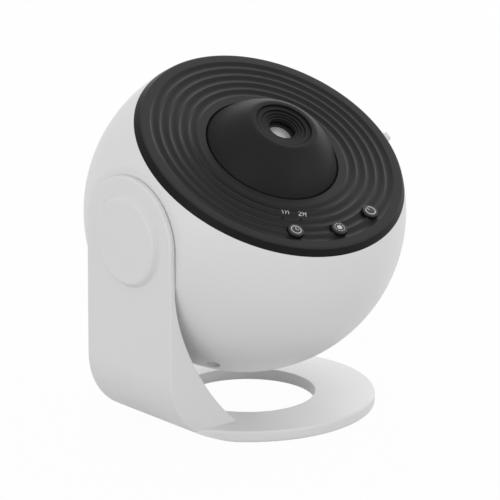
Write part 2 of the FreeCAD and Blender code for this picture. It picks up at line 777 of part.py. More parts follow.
def ripple(start, top, count, pitch, depth):
    """Concentric hollow flutes from radius start inwards, with a narrow flat crest between them."""
    edges = []
    for i in range(count):
        outer = start - i * pitch
        inner = outer - pitch + crest_flat
        edges.append(arc((outer, top), ((outer + inner) / 2, top - depth), (inner, top)))
        edges.append(line((inner, top), (inner - crest_flat, top)))
    return edges


def on_ball(height):
    return math.sqrt(ball_radius ** 2 - height ** 2)


band_top = panel_top - rim_round
band_mid = (seam_height + band_top) / 2.0
rim_corner_x = on_ball(band_top) - rim_round * band_top / on_ball(band_top)
spigot_low = seam_height - spigot_length
rim_outer = cone_base + cone_rim
rim_top = rim_low + cone_rim_height
recess_top = rim_top + cone_play
profile = [
    arc((on_ball(seam_height), seam_height), (on_ball(band_mid), band_mid), (on_ball(band_top), band_top)),
    bend((on_ball(band_top), band_top), (rim_corner_x, panel_top), (rim_edge, panel_top)),
    line((rim_edge, panel_top), (groove_end, panel_top)),
]
profile += ripple(groove_end, panel_top, groove_count, groove_pitch, groove_depth)
profile += outline([
    (groove_start, panel_top),
    (panel_hole + edge_break, panel_top),
    (panel_hole, panel_top - edge_break),
    (panel_hole, recess_top),
    (rim_outer + cone_play, recess_top),
    (rim_outer + cone_play, panel_under),
    (spigot_inner, panel_under),
    (spigot_inner, spigot_low),
    (spigot_outer, spigot_low),
    (spigot_outer, seam_height),
    (on_ball(seam_height), seam_height),
])
panel = revolve(profile)
button_angles = (-button_angle, 0.0, button_angle)
pipe_angles = (-button_angle - pipe_spread, -button_angle + pipe_spread)
chassis_places = [(sx * chassis_foot_x, sy * chassis_foot_y) for sx in (-1, 1) for sy in (-1, 1)]
ear_places = [polar(ear_circle, a) for a in (45.0, 135.0, -135.0, -45.0)]
control_places = [polar(control_post_circle, a) for a in (-control_post_angle, control_post_angle)]
bosses = []
for angle in closing_angles:
    x, y = polar(tower_circle, angle)
    bosses.append(rod(x, y, closing_boss, tower_top, seam_height + panel_rise / 2))
for x, y in chassis_places:
    bosses.append(rod(x, y, chassis_boss, plate_top, panel_under + panel_wall / 4))
for x, y in ear_places:
    bosses.append(rod(x, y, ear_radius, flange_top, panel_under + panel_wall / 4))
for x, y in control_places:
    bosses.append(rod(x, y, control_post, control_top, panel_under + panel_wall / 4))
panel = panel.fuse(bosses)
for angle in closing_angles:
    x, y = polar(tower_circle, angle)
    panel = panel.cut(rod(x, y, screw_radius, tower_top - over, tower_top + screw_bite))
for x, y in chassis_places:
    panel = panel.cut(rod(x, y, screw_radius, plate_top - over, plate_top + screw_bite))
for x, y in ear_places:
    panel = panel.cut(rod(x, y, screw_radius, flange_top - over, flange_top + ear_bite))
for x, y in control_places:
    panel = panel.cut(rod(x, y, screw_radius, control_top - over, control_top + control_bite))
for angle in button_angles:
    x, y = polar(button_circle, angle)
    panel = panel.cut(rod(x, y, button_radius + button_fit, panel_under - over, panel_top + over))
for angle in pipe_angles:
    x, y = polar(pipe_circle, angle)
    panel = panel.cut(rod(x, y, pipe_radius + pipe_fit, panel_under - over, panel_top + over))
notch_front = -nub_place - guard_half - 2 * nub_gap
notch_back = -nub_place + guard_half + nub_travel + 2 * nub_gap
panel = panel.cut(block(ball_radius / 2, spigot_outer + over, notch_front, notch_back,
                        spigot_low - over, seam_height))
save_head("front_panel", panel)

screw_length = chassis_plate + screw_bite - screw_room
chassis_screws = [screw(x, y, plate_under, screw_length, True) for x, y in chassis_places]
save_head("chassis_screws", group(chassis_screws))
screw_length = sleeve_flange + ear_bite - screw_room
sleeve_screws = [screw(x, y, flange_under, screw_length, True) for x, y in ear_places]
save_head("sleeve_screws", group(sleeve_screws))
control_low = control_top - board_thick
screw_length = board_thick + control_bite - screw_room
control_screws = [screw(x, y, control_low, screw_length, True) for x, y in control_places]
save_head("control_screws", group(control_screws))

# ---- focusing sleeve: three helical slots that the lens's cam pins ride in -----------------------
pin_angles = (0.0, 120.0, 240.0)
slot_half = pin_radius + pin_fit
sleeve_end = cone_under - sleeve_top_gap
sleeve = tube(0, 0, sleeve_outer, sleeve_inner, flange_under, sleeve_end)
lands = [rod(0, 0, flange_radius, flange_under, flange_top)]
for x, y in ear_places:
    lands.append(rod(x, y, ear_radius, flange_under, flange_top))
sleeve = fuse([sleeve] + lands).cut(rod(0, 0, sleeve_inner, flange_under - over, sleeve_end + over))


def helical_slot(angle):
    """Cutter that climbs by focus_shift for every focus_turn, both ways from the pin's middle place."""
    middle = (sleeve_inner + sleeve_outer) / 2.0
    lead = focus_shift * 360.0 / focus_turn
    path = Part.Wire(Part.makeHelix(lead, 2 * focus_shift, middle).Edges)
    corners = [V(sleeve_inner - over, 0, -slot_half), V(sleeve_outer + over, 0, -slot_half),
               V(sleeve_outer + over, 0, slot_half), V(sleeve_inner - over, 0, slot_half)]
    section = Part.makePolygon(corners + [corners[0]])
    cutter = path.makePipeShell([section], True, True)
    cutter.rotate(V(0, 0, 0), V(0, 0, 1), angle - 90 - focus_turn)
    cutter.translate(V(0, 0, pin_height - focus_shift))
    ends = []
    for side in (-1, 1):
        end = Part.makeCylinder(slot_half, sleeve_outer + over, V(0, 0, pin_height + side * focus_shift),
                                V(0, -1, 0))
        end.rotate(V(0, 0, 0), V(0, 0, 1), angle + side * focus_turn)
        ends.append(end)
    return [cutter] + ends


for angle in pin_angles:
    for cutter in helical_slot(angle):
        sleeve = sleeve.cut(cutter)
for x, y in ear_places:
    sleeve = sleeve.cut(rod(x, y, screw_radius + screw_fit, flange_under - over, flange_top + over))
save_head("focus_sleeve", sleeve)

# ---- focusing cone: domed cone, stepped funnel and the drum that drives the pins -----------------
side_low = (cone_base, panel_top)
side_high = (lip_radius, lip_top)
share = 1.0 - lip_round / math.hypot(cone_base - lip_radius, cone_height)
side_end = bulged(side_low, side_high, cone_bulge, share)
inner_low = (cone_base - cone_wall, panel_top)
inner_high = (drum_outer, cone_under + drum_root)
drum_low = flange_top + 2 * cone_play
lip = [(lip_radius - lip_round, lip_top)]
depth = lip_top
for radius, drop, after in zip(funnel_radii, funnel_drops, funnel_radii[1:]):
    lip += [(radius, depth), (radius, depth - drop)]
    depth -= drop
lip += [(funnel_radii[-1], funnel_bottom), (funnel_radii[-1], cone_under), (drum_inner, cone_under),
        (drum_inner, drum_low), (drum_outer, drum_low), inner_high]
profile = [
    arc(side_low, bulged(side_low, side_high, cone_bulge, share / 2.0), side_end),
    bend(side_end, side_high, (lip_radius - lip_round, lip_top)),
]
profile += outline(lip)
profile += [arc(inner_high, bulged(inner_low, inner_high, cone_bulge, 0.5), inner_low)]
profile += outline([inner_low, (cone_base - cone_wall, rim_low), (rim_outer, rim_low), (rim_outer, rim_top),
                    (cone_base, rim_top), side_low])
cone = revolve(profile)
slot_top = pin_height + focus_shift + slot_half
for angle in pin_angles:
    slot = block(-slot_half, slot_half, -drum_outer - over / 2, -drum_inner + over, drum_low - over, slot_top)
    slot.rotate(V(0, 0, 0), V(0, 0, 1), angle)
    cone = cone.cut(slot)
save_head("focus_cone", cone)

# ---- projection lens: barrel, two lenses, spacer, retaining ring and cam pins --------------------
barrel_low = barrel_top - barrel_length
seat_front = barrel_top - barrel_front
barrel = turned([(barrel_bore, barrel_low), (barrel_outer, barrel_low), (barrel_outer, barrel_top),
                 (aperture, barrel_top), (aperture, seat_front), (barrel_bore, seat_front)])
pins = []
for angle in pin_angles:
    hole = Part.makeCylinder(pin_radius, barrel_outer, V(0, -barrel_bore + over, pin_height), V(0, -1, 0))
    hole.rotate(V(0, 0, 0), V(0, 0, 1), angle)
    barrel = barrel.cut(hole)
    pin_start = barrel_bore + pin_recess
    pin = Part.makeCylinder(pin_radius, pin_reach - pin_start, V(0, -pin_start, pin_height), V(0, -1, 0))
    pin.rotate(V(0, 0, 0), V(0, 0, 1), angle)
    pins.append(pin)
save_head("lens_barrel", barrel)
save_head("cam_pins", group(pins))


def lens(edge, rim, flat, dome, low, up):
    """Lens with a flat seating rim and a dome of the given height on one side."""
    top = low + rim
    if up:
        return revolve([line((0, low), (edge, low)), line((edge, low), (edge, top)),
                        line((edge, top), (flat, top)),
                        arc((flat, top), bulged((flat, top), (-flat, top), dome, 0.25), (0, top + dome)),
                        line((0, top + dome), (0, low))])
    return revolve([line((0, top), (edge, top)), line((edge, top), (edge, low)),
                    line((edge, low), (flat, low)),
                    arc((flat, low), bulged((-flat, low), (flat, low), dome, 0.75), (0, low - dome)),
                    line((0, low - dome), (0, top))])


spacer_top = seat_front - lens_edge
spacer_low = spacer_top - spacer_length
retainer_top = spacer_low - lens_edge
save_head("front_lens", lens(lens_radius, lens_edge, aperture - lens_fit, front_dome, spacer_top, True))
save_head("lens_spacer", tube(0, 0, lens_radius, lens_radius - spacer_wall, spacer_low, spacer_top))
rear_flat = lens_radius - spacer_wall
save_head("rear_lens", lens(lens_radius, lens_edge, rear_flat, rear_dome, retainer_top, False))
save_head("lens_retainer", tube(0, 0, lens_radius, rear_flat + lens_fit,
                                retainer_top - retainer_length, retainer_top))

# ---- chassis: plate, lamp tube and the bearing that the film carrier turns on --------------------
plate = [rod(0, 0, chassis_radius, plate_under, plate_top)]
for side in (-1, 1):
    y = side * chassis_foot_y
    plate.append(block(-chassis_foot_x, chassis_foot_x, y - chassis_foot, y + chassis_foot,
                       plate_under, plate_top))
for x, y in chassis_places:
    plate.append(rod(x, y, chassis_foot, plate_under, plate_top))
motor_ear_radius = screw_head_radius + ear_margin
motor_ears = [(side * motor_screw_spacing / 2.0, motor_place) for side in (-1, 1)]
plate.append(rod(0, motor_place, motor_radius + ear_margin, plate_under, plate_top))
plate.append(block(motor_ears[0][0], motor_ears[1][0], motor_place - motor_ear_radius,
                   motor_place + motor_ear_radius, plate_under, plate_top))
for x, y in motor_ears:
    plate.append(rod(x, y, motor_ear_radius, plate_under, plate_top))
lamp_outer = lamp_bore + lamp_wall
lens_seat = plate_under - condenser_depth
plate.append(rod(0, 0, lamp_outer, lamp_end, plate_under + chassis_plate / 2))
plate.append(rod(0, 0, bearing_radius, plate_top - chassis_plate / 2, bearing_top))
sink_places = [polar(sink_screw_circle, a) for a in keeper_angles]
for x, y in sink_places:
    plate.append(rod(x, y, sink_ear, lamp_end, lamp_end + sink_ear_height))
chassis = fuse(plate)
chassis = chassis.cut(rod(0, 0, lamp_bore, lens_seat, plate_top + 0.01))
chassis = chassis.cut(rod(0, 0, bearing_radius - bearing_wall, plate_top, bearing_top + over))
chassis = chassis.cut(rod(0, 0, lamp_bore - lens_ledge, lens_seat - ledge_thick - over, lens_seat + over))
chassis = chassis.cut(rod(0, 0, lamp_bore, lamp_end - over, lens_seat - ledge_thick))
chassis = chassis.cut(rod(0, motor_place, motor_nose + nose_room, plate_under - over, plate_top + over))
for x, y in chassis_places + motor_ears:
    chassis = chassis.cut(rod(x, y, screw_radius + screw_fit, plate_under - over, plate_top + over))
for x, y in sink_places:
    hole_top = lamp_end + sink_ear_height - sink_ear_floor
    chassis = chassis.cut(rod(x, y, screw_radius, lamp_end - over, hole_top))
save_head("light_chassis", chassis)

keepers = []
keeper_circle = carrier_pitch + tooth_module + keeper_gap + keeper_radius
for angle in keeper_angles:
    x, y = polar(keeper_circle, angle)
    post = rod(x, y, keeper_radius, plate_top, gear_top + keeper_gap)
    cap = rod(x, y, keeper_radius, gear_top + keeper_gap, gear_top + keeper_gap + keeper_cap)
    tab_x, tab_y = polar(keeper_circle - keeper_radius - keeper_reach / 2.0, angle)
    tab = rod(tab_x, tab_y, keeper_radius, gear_top + keeper_gap, gear_top + keeper_gap + keeper_cap)
    keepers.append(fuse([post, cap, tab]))
save_head("carrier_keepers", group(keepers))

save_head("condenser_lens", lens(condenser_radius, condenser_edge, condenser_flat, condenser_dome,
                                 lens_seat, True))
ring_low = lens_seat + condenser_edge
save_head("condenser_ring", tube(0, 0, lamp_bore - press_gap, condenser_flat + end_gap, ring_low,
                                 ring_low + condenser_ring_height))

# ---- lamp: emitter on its board, on the pedestal of a finned heat sink ---------------------------
pedestal_top = lamp_end + sink_pedestal
board_top = pedestal_top + led_board_thick
save_head("led_board", rod(0, 0, led_board_radius, pedestal_top, board_top))
half_led = led_width / 2.0
emitter = block(-half_led, half_led, -half_led, half_led, board_top, board_top + led_height)
led_lens = ball(led_dome)
led_lens.translate(V(0, 0, board_top + led_height))
led_lens = led_lens.common(block(-led_width, led_width, -led_width, led_width,
                                 board_top + led_height / 2, board_top + led_height + led_width))
save_head("led_emitter", emitter.fuse(led_lens).removeSplitter())
sink_under = lamp_end - sink_base
sink = [rod(0, 0, sink_radius, sink_under, lamp_end)]
sink.append(rod(0, 0, led_board_radius, lamp_end - over, pedestal_top))
round_limit = rod(0, 0, sink_radius, sink_under - fin_length - over, lamp_end)
for i in range(fin_count):
    x = (i - (fin_count - 1) / 2.0) * fin_pitch
    fin = block(x - fin_thick / 2, x + fin_thick / 2, -sink_radius, sink_radius,
                sink_under - fin_length, sink_under + sink_base / 2)
    sink.append(fin.common(round_limit))
heat_sink = fuse(sink)
for x, y in sink_places:
    head_hole = screw_head_radius + head_room
    heat_sink = heat_sink.cut(rod(x, y, head_hole, sink_under - fin_length - over, sink_under))
    heat_sink = heat_sink.cut(rod(x, y, screw_radius + screw_fit, sink_under - over, lamp_end + over))
save_head("heat_sink", heat_sink)
screw_length = sink_base + sink_ear_height - sink_ear_floor - screw_room
sink_screws = [screw(x, y, sink_under, screw_length, True) for x, y in sink_places]
save_head("heat_sink_screws", group(sink_screws))


# ---- rotating star film: carrier gear, film disc, clip, motor and pinion -------------------------
def gear(teeth, low, high, turn):
    """Spur gear about Z; one tooth's middle points along +Y turned by the given angle."""
    pitch = tooth_module * teeth / 2.0
    pressure = math.radians(20)
    base = pitch * math.cos(pressure)
    tip = pitch + tooth_module
    root = pitch - 1.25 * tooth_module
    thin = tooth_backlash / (4.0 * pitch)
    at_pitch = math.pi / (2.0 * teeth) - thin + math.tan(pressure) - pressure

    def half_tooth(radius):
        slope = math.acos(min(1.0, base / radius))
        return at_pitch - (math.tan(slope) - slope)
    radii = sorted({root, max(root, base), pitch, tip})
    points = []
    for i in range(teeth):
        middle = math.radians(turn) + 2.0 * math.pi * i / teeth
        flank = [(r, half_tooth(r)) for r in radii]
        for r, h in flank:
            points.append(V(-r * math.sin(middle - h), r * math.cos(middle - h), low))
        for r, h in reversed(flank):
            points.append(V(-r * math.sin(middle + h), r * math.cos(middle + h), low))
    face = Part.Face(Part.makePolygon(points + [points[0]]))
    return face.extrude(V(0, 0, high - low))


carrier_bore = bearing_radius + bearing_fit
cup_inner = film_radius + film_fit
carrier = gear(carrier_teeth, gear_low, gear_top, 0.0)
carrier = carrier.fuse(rod(0, 0, cup_inner + carrier_wall, gear_top - over, clip_top)).removeSplitter()
carrier = carrier.cut(rod(0, 0, carrier_bore, gear_low - over, clip_top + over))
carrier = carrier.cut(rod(0, 0, cup_inner, film_low, clip_top + over))
save_head("film_carrier", carrier)
save_head("film_disc", rod(0, 0, film_radius, film_low, film_top))
save_head("film_clip", tube(0, 0, cup_inner - press_gap, film_radius - clip_width, film_top, clip_top))

pinion = gear(pinion_teeth, gear_low, gear_top, 180.0 / pinion_teeth)
pinion = pinion.fuse(rod(0, 0, pinion_hub, gear_top - over, gear_top + pinion_hub_height)).removeSplitter()
pinion = pinion.cut(rod(0, 0, shaft_radius, gear_low - over, gear_top + pinion_hub_height + over))
pinion.translate(V(0, motor_place, 0))
save_head("motor_pinion", pinion)
shaft_low = plate_under - motor_length + shaft_inset
save_head("motor_shaft", rod(0, motor_place, shaft_radius, shaft_low, gear_top + pinion_hub_height))

motor_low = plate_under - motor_length
motor = [rod(0, motor_place, motor_radius, motor_low, plate_under),
         rod(0, motor_place, motor_nose, plate_under - over, plate_under + motor_nose_height)]
ear_low = plate_under - motor_ear
motor.append(block(motor_ears[0][0], motor_ears[1][0], motor_place - motor_ear_radius,
                   motor_place + motor_ear_radius, ear_low, plate_under))
for x, y in motor_ears:
    motor.append(rod(x, y, motor_ear_radius, ear_low, plate_under))
motor = fuse(motor).cut(rod(0, motor_place, shaft_radius + press_gap, shaft_low - end_gap,
                            plate_under + motor_nose_height + over))
for x, y in motor_ears:
    motor = motor.cut(rod(x, y, screw_radius, ear_low - over, plate_under + over))
save_head("film_motor", motor)
screw_length = chassis_plate + motor_ear + screw_out
motor_screws = [screw(x, y, plate_top, screw_length, False) for x, y in motor_ears]
save_head("motor_screws", group(motor_screws))


# ---- panel buttons, their switches and the timer lamps -------------------------------------------
def board_sector(inner, outer, span, low, high):
    half = span / 2.0
    points = [polar(inner, -half), polar(outer, -half), polar(outer, 0), polar(outer, half),
              polar(inner, half), polar(inner, 0)]
    a, b, c, d, e, f = [V(x, y, low) for x, y in points]
    edges = [Part.LineSegment(a, b).toShape(), Part.Arc(b, c, d).toShape(),
             Part.LineSegment(d, e).toShape(), Part.Arc(e, f, a).toShape()]
    return Part.Face(Part.Wire(edges)).extrude(V(0, 0, high - low))


control = board_sector(control_inner, control_outer, control_span, control_low, control_top)
for x, y in control_places:
    control = control.cut(rod(x, y, screw_radius + screw_fit, control_low - over, control_top + over))
save_head("control_board", control)

cap_top_z = panel_top + button_proud
flange_high = button_low + button_flange_thick
switch_top = control_top + switch_height
plunger_low = button_low - plunger_height
housings = []
for name, angle in (("timer", -button_angle), ("light", 0.0), ("power", button_angle)):
    x, y = polar(button_circle, angle)
    cap = rod(x, y, button_radius, button_low, cap_top_z)
    top_edge = [e for e in cap.Edges if e.BoundBox.ZLength < 0.01 and e.BoundBox.ZMin > panel_top]
    cap = cap.makeFillet(button_edge, top_edge)
    cap = cap.fuse(rod(x, y, button_radius + button_flange, button_low, flange_high)).removeSplitter()
    save_head(name + "_button", cap)
    save_head(name + "_plunger", rod(x, y, plunger_radius, plunger_low, button_low))
    side = switch_side / 2.0
    housing = block(-side, side, -side, side, control_top, switch_top)
    housing = housing.cut(rod(0, 0, plunger_radius + button_fit, plunger_low - button_travel - plunger_room,
                              switch_top + over))
    housing.rotate(V(0, 0, 0), V(0, 0, 1), angle)
    housing.translate(V(x, y, 0))
    housings.append(housing)
save_head("tact_switches", group(housings))

pipes = []
chips = []
for angle in pipe_angles:
    x, y = polar(pipe_circle, angle)
    chip = block(-chip_half, chip_half, -chip_half, chip_half, control_top, control_top + chip_height)
    chip.rotate(V(0, 0, 0), V(0, 0, 1), angle)
    chip.translate(V(x, y, 0))
    chips.append(chip)
    pipe = rod(x, y, pipe_radius, control_top + chip_height + end_gap, panel_top - pipe_recess)
    head = rod(x, y, pipe_head, panel_under - pipe_head_height, panel_under)
    pipes.append(pipe.fuse(head).removeSplitter())
save_head("timer_leds", group(chips))
save_head("light_pipes", group(pipes))

# ---- slide switch at the panel's edge ------------------------------------------------------------
nub = block(guard_place, nub_reach, -nub_place - nub_width / 2, -nub_place + nub_width / 2, nub_low, nub_high)
end_edges = [e for e in nub.Edges if e.BoundBox.XMin > nub_reach - 0.01]
nub = nub.makeFillet(nub_round, end_edges)
guard = block(guard_place, guard_outer, -nub_place - guard_half, -nub_place + guard_half,
              nub_low - guard_drop, nub_high)
lever_mid = nub_low + nub_height / 2
body_outer = guard_place - guard_gap
lever = block(body_outer - lever_depth, guard_place + guard_thick / 2, -nub_place - lever_half,
              -nub_place + lever_half, lever_mid - lever_half, lever_mid + lever_half)
save_head("switch_slider", fuse([nub, guard, lever]))
body_middle = -nub_place + nub_travel / 2
body = block(body_outer - slide_body_depth, body_outer, body_middle - slide_body_length / 2,
             body_middle + slide_body_length / 2, lever_mid - slide_body_drop, panel_under)
slot = block(body_outer - lever_depth - lever_play, body_outer + over, -nub_place - lever_half - lever_play,
             -nub_place + nub_travel + lever_half + lever_play, lever_mid - lever_half - lever_play,
             lever_mid + lever_half + lever_play)
save_head("slide_switch", body.cut(slot))

# ---- main board and power socket -----------------------------------------------------------------
tongue_end = socket_mouth - pocket_wall - tongue_gap
board = block(-main_half_x, main_half_x, -main_half_y, main_half_y, -main_drop, main_top)
corners = [e for e in board.Edges if e.BoundBox.ZLength > board_thick - 0.01]
board = board.makeFillet(main_corner, corners)
board = board.fuse(block(-tongue_half, tongue_half, 0, tongue_end, -main_drop, main_top)).removeSplitter()
for x, y in main_posts:
    board = board.cut(rod(x, y, screw_radius + screw_fit, -main_drop - over, main_top + over))
save_head("main_board", board)
screw_length = board_thick + screw_bite - screw_room
board_screws = [screw(x, y, main_top, screw_length, False) for x, y in main_posts]
save_head("board_screws", group(board_screws))


def rounded_block(x0, x1, y0, y1, z0, z1, radius):
    """Block whose long Y edges are rounded."""
    shape = block(x0, x1, y0, y1, z0, z1)
    edges = [e for e in shape.Edges if e.BoundBox.YLength > y1 - y0 - 0.01]
    return shape.makeFillet(radius, edges)


socket_back = socket_mouth - socket_length
half_socket = socket_width / 2.0
socket = rounded_block(-half_socket, half_socket, socket_back, socket_mouth, main_top,
                       main_top + socket_height, socket_height * socket_roundness)
inner = rounded_block(-half_socket + socket_wall, half_socket - socket_wall, socket_back + socket_end,
                      socket_mouth + over, main_top + socket_wall, main_top + socket_height - socket_wall,
                      (socket_height - 2 * socket_wall) * socket_roundness)
blade = block(-half_socket + blade_side, half_socket - blade_side, socket_back + socket_end / 2,
              socket_mouth - blade_inset, socket_mid - blade_half, socket_mid + blade_half)
save_head("power_socket", socket.cut(inner).fuse(blade).removeSplitter())


def standing_block(x, y, size_x, size_y, height):
    """Part that stands on the main board, given by its middle."""
    return block(x - size_x / 2, x + size_x / 2, y - size_y / 2, y + size_y / 2, main_top, main_top + height)


capacitor_x = -main_half_x + 3 * capacitor_radius
plug_y = main_half_y - plug_depth
components = [
    rod(capacitor_x, 3 * capacitor_radius, capacitor_radius, main_top, main_top + capacitor_height),
    rod(capacitor_x, capacitor_radius / 2, capacitor_radius, main_top, main_top + capacitor_height),
    standing_block(0, 0, chip_side, chip_side, chip_thick),
    standing_block(main_half_x / 2, 1.7 * coil_side, coil_side, coil_side, coil_height),
    standing_block(main_half_x / 2, 0, chip_side / 2, chip_side / 2, chip_thick),
    standing_block(-main_half_x * 0.3, -plug_y, plug_lengths[0], plug_depth, plug_height),
    standing_block(main_half_x * 0.3, -plug_y, plug_lengths[1], plug_depth, plug_height),
    standing_block(0, plug_y, plug_lengths[2], plug_depth, plug_height),
]
save_head("board_parts", group(components))
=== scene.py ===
import json
import math

import bmesh
import bpy
import numpy as np
from mathutils import Matrix, Vector


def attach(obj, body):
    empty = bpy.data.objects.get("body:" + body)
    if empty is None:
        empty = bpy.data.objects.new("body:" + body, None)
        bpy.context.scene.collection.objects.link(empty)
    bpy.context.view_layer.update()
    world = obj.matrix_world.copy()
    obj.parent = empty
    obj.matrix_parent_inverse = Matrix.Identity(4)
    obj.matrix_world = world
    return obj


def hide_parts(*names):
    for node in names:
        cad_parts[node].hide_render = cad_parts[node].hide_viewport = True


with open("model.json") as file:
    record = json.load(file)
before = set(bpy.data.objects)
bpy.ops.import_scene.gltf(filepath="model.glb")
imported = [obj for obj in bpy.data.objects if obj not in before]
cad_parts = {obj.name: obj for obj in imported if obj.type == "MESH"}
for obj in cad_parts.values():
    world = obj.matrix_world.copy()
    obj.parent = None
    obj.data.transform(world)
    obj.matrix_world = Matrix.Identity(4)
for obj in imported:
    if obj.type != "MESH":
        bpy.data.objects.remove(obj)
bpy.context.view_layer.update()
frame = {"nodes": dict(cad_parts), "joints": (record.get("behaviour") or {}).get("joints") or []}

# ---- Where the ball hangs ----
# The ball turns about the tilt hinge, whose place is the ball's centre. What belongs to the ball is drawn
# upright about that centre with the dark panel on top, and is then leaned forward with the panel.
mm = 0.001
joints = {joint["name"]: joint for joint in frame["joints"]}
ball_centre = np.array(joints["head_tilt"]["pos_m"])
panel_axis = np.array(joints["film_spin"]["axis"])
lean = math.atan2(-panel_axis[1], panel_axis[2])


def leaned(points):
    """Turns upright points about the X axis by the panel's lean and moves them to the ball's centre."""
    x, y, z = points.T
    return np.column_stack([x, y * math.cos(lean) - z * math.sin(lean),
                            y * math.sin(lean) + z * math.cos(lean)]) + ball_centre


def standing(points):
    """Moves points drawn about the ball's centre to their place, unturned: for the stand."""
    return points + ball_centre


# ---- Studio: camera, backdrop, floor and lamps ----
# A long lens looks a little down on the front and on the arm's side. The white sweep is a floor that keeps
# a soft shadow. An even dome lights the whole, two lamps graze the panel from behind and from the side, and
# two stand low, at the left and in front.
sight_line = np.array([-0.6178, -0.7252, 0.3039])
view_distance = 2.9
pixels_per_metre = 2304.0
picture_pixels = 500
sensor_width = 36.0
aim_right = 2.2 * mm
aim_below = 17.05 * mm
white = (1.0, 1.0, 1.0)
dome_strength = 0.83
sweep_lit = (0.62, 0.62, 0.62)
sweep_seen = 0.97
floor_half = 3.0


def unit(vectors):
    """Vectors made one long."""
    return vectors / np.linalg.norm(vectors, axis=-1, keepdims=True)


def shown(name, data):
    """Object that puts a camera, a lamp or a mesh into the scene."""
    shape = bpy.data.objects.new(name, data)
    bpy.context.scene.collection.objects.link(shape)
    return shape


sight = unit(sight_line)
across = unit(np.cross([0, 0, 1], sight))
upward = np.cross(sight, across)
aim = ball_centre + aim_right * across - aim_below * upward
camera_data = bpy.data.cameras.new("camera")
camera_data.sensor_width = sensor_width
camera_data.lens = pixels_per_metre * view_distance * sensor_width / picture_pixels
camera = shown("camera", camera_data)
camera.matrix_world = Matrix(np.column_stack([across, upward, sight]).tolist()).to_4x4()
camera.location = Vector(aim + view_distance * sight)
bpy.context.scene.camera = camera
bpy.context.scene.view_settings.view_transform = "Standard"


def math_node(operation):
    """Operator between two wires, or a wire and a number, that adds a Math node."""
    return lambda wire, other: wire.finish.node(
        "ShaderNodeMath", {"operation": operation}, {0: wire, 1: other})


class Wire:
    """The output of a shader node. Arithmetic on wires and numbers adds Math nodes."""

    def __init__(self, finish, socket):
        self.finish = finish
        self.socket = socket

    __add__ = __radd__ = math_node("ADD")
    __mul__ = __rmul__ = math_node("MULTIPLY")
    __gt__ = math_node("GREATER_THAN")


class Finish:
    """A material or world under construction; node() adds any node and returns one of its outputs."""

    def __init__(self, name, holder=None):
        self.holder = holder or bpy.data.materials.new(name)
        self.holder.use_nodes = True
        self.tree = self.holder.node_tree
        self.tree.nodes.clear()

    def node(self, kind, settings=None, sockets=None, output=0):
        """Settings are set first, then the sockets' values or links."""
        node = self.tree.nodes.new(kind)
        for key, value in (settings or {}).items():
            setattr(node, key, value)
        for key, value in (sockets or {}).items():
            socket = node.inputs[key]
            if isinstance(value, Wire):
                self.tree.links.new(value.socket, socket)
            elif isinstance(value, tuple) and socket.type == "RGBA":
                socket.default_value = (*value, 1.0)
            else:
                socket.default_value = value
        return Wire(self, node.outputs[output]) if len(node.outputs) else None

    def place(self):
        """Object coordinates."""
        return self.node("ShaderNodeTexCoord", output="Object")

    def noise(self, place, scale, detail, roughness=0.5):
        return self.node("ShaderNodeTexNoise", sockets={
            "Vector": place, "Scale": scale, "Detail": detail, "Roughness": roughness})

    def cells(self, place, scale, feature="F1", scatter=1.0):
        """Distance to the nearest of scattered points, or to the edge between their cells."""
        return self.node("ShaderNodeTexVoronoi", {"feature": feature}, {
            "Vector": place, "Scale": scale, "Randomness": scatter})

    def blend(self, share, colour, other):
        """colour where share is 0, other where it is 1."""
        return self.node("ShaderNodeMix", {"data_type": "RGBA"}, {0: share, 6: colour, 7: other}, output=2)

    def spread(self, value, low, high, first, last):
        """Stretches low to high over first to last, and holds the ends."""
        return self.node("ShaderNodeMapRange", sockets={0: value, 1: low, 2: high, 3: first, 4: last})

    def bump(self, height, strength, depth):
        return self.node("ShaderNodeBump", sockets={
            "Height": height, "Strength": strength, "Distance": depth})

    def surface(self, sockets):
        """Closes the material with one Principled surface."""
        self.node("ShaderNodeOutputMaterial", sockets={
            "Surface": self.node("ShaderNodeBsdfPrincipled", sockets=sockets)})
        return self.holder


def backdrop(finish, output, lit, seen, share=1.0):
    """Closes a backdrop that lights the object by the shader lit, and shows a share of the shader seen where
    the camera, a reflection or a view through glass meets it."""
    direct = sum(finish.node("ShaderNodeLightPath", output=f"Is {path} Ray")
                 for path in ("Camera", "Glossy", "Transmission")) > 0.5
    finish.node(output, sockets={"Surface": finish.node(
        "ShaderNodeMixShader", sockets={0: direct * share, 1: lit, 2: seen})})
    return finish.holder


dome = Finish("dome", bpy.data.worlds.new("dome"))
bpy.context.scene.world = backdrop(
    dome, "ShaderNodeOutputWorld",
    dome.node("ShaderNodeBackground", sockets={"Color": white, "Strength": dome_strength}),
    dome.node("ShaderNodeBackground", sockets={"Color": white, "Strength": 1.0}))
sweep = Finish("sweep_white")
backdrop(sweep, "ShaderNodeOutputMaterial",
         sweep.node("ShaderNodeBsdfDiffuse", sockets={"Color": sweep_lit, "Roughness": 0.0}),
         sweep.node("ShaderNodeEmission", sockets={"Color": white, "Strength": 1.0}), sweep_seen)


def grid_faces(rows, columns, wrap_rows, wrap_columns):
    """Point numbers of the quads of a rows x columns grid; a wrapped direction joins its end to its start."""
    i, j = np.meshgrid(np.arange(rows if wrap_rows else rows - 1),
                       np.arange(columns if wrap_columns else columns - 1), indexing="ij")
    i, j = i.ravel(), j.ravel()
    k, l = (i + 1) % rows, (j + 1) % columns
    return np.column_stack([i * columns + j, i * columns + l, k * columns + l, k * columns + j])


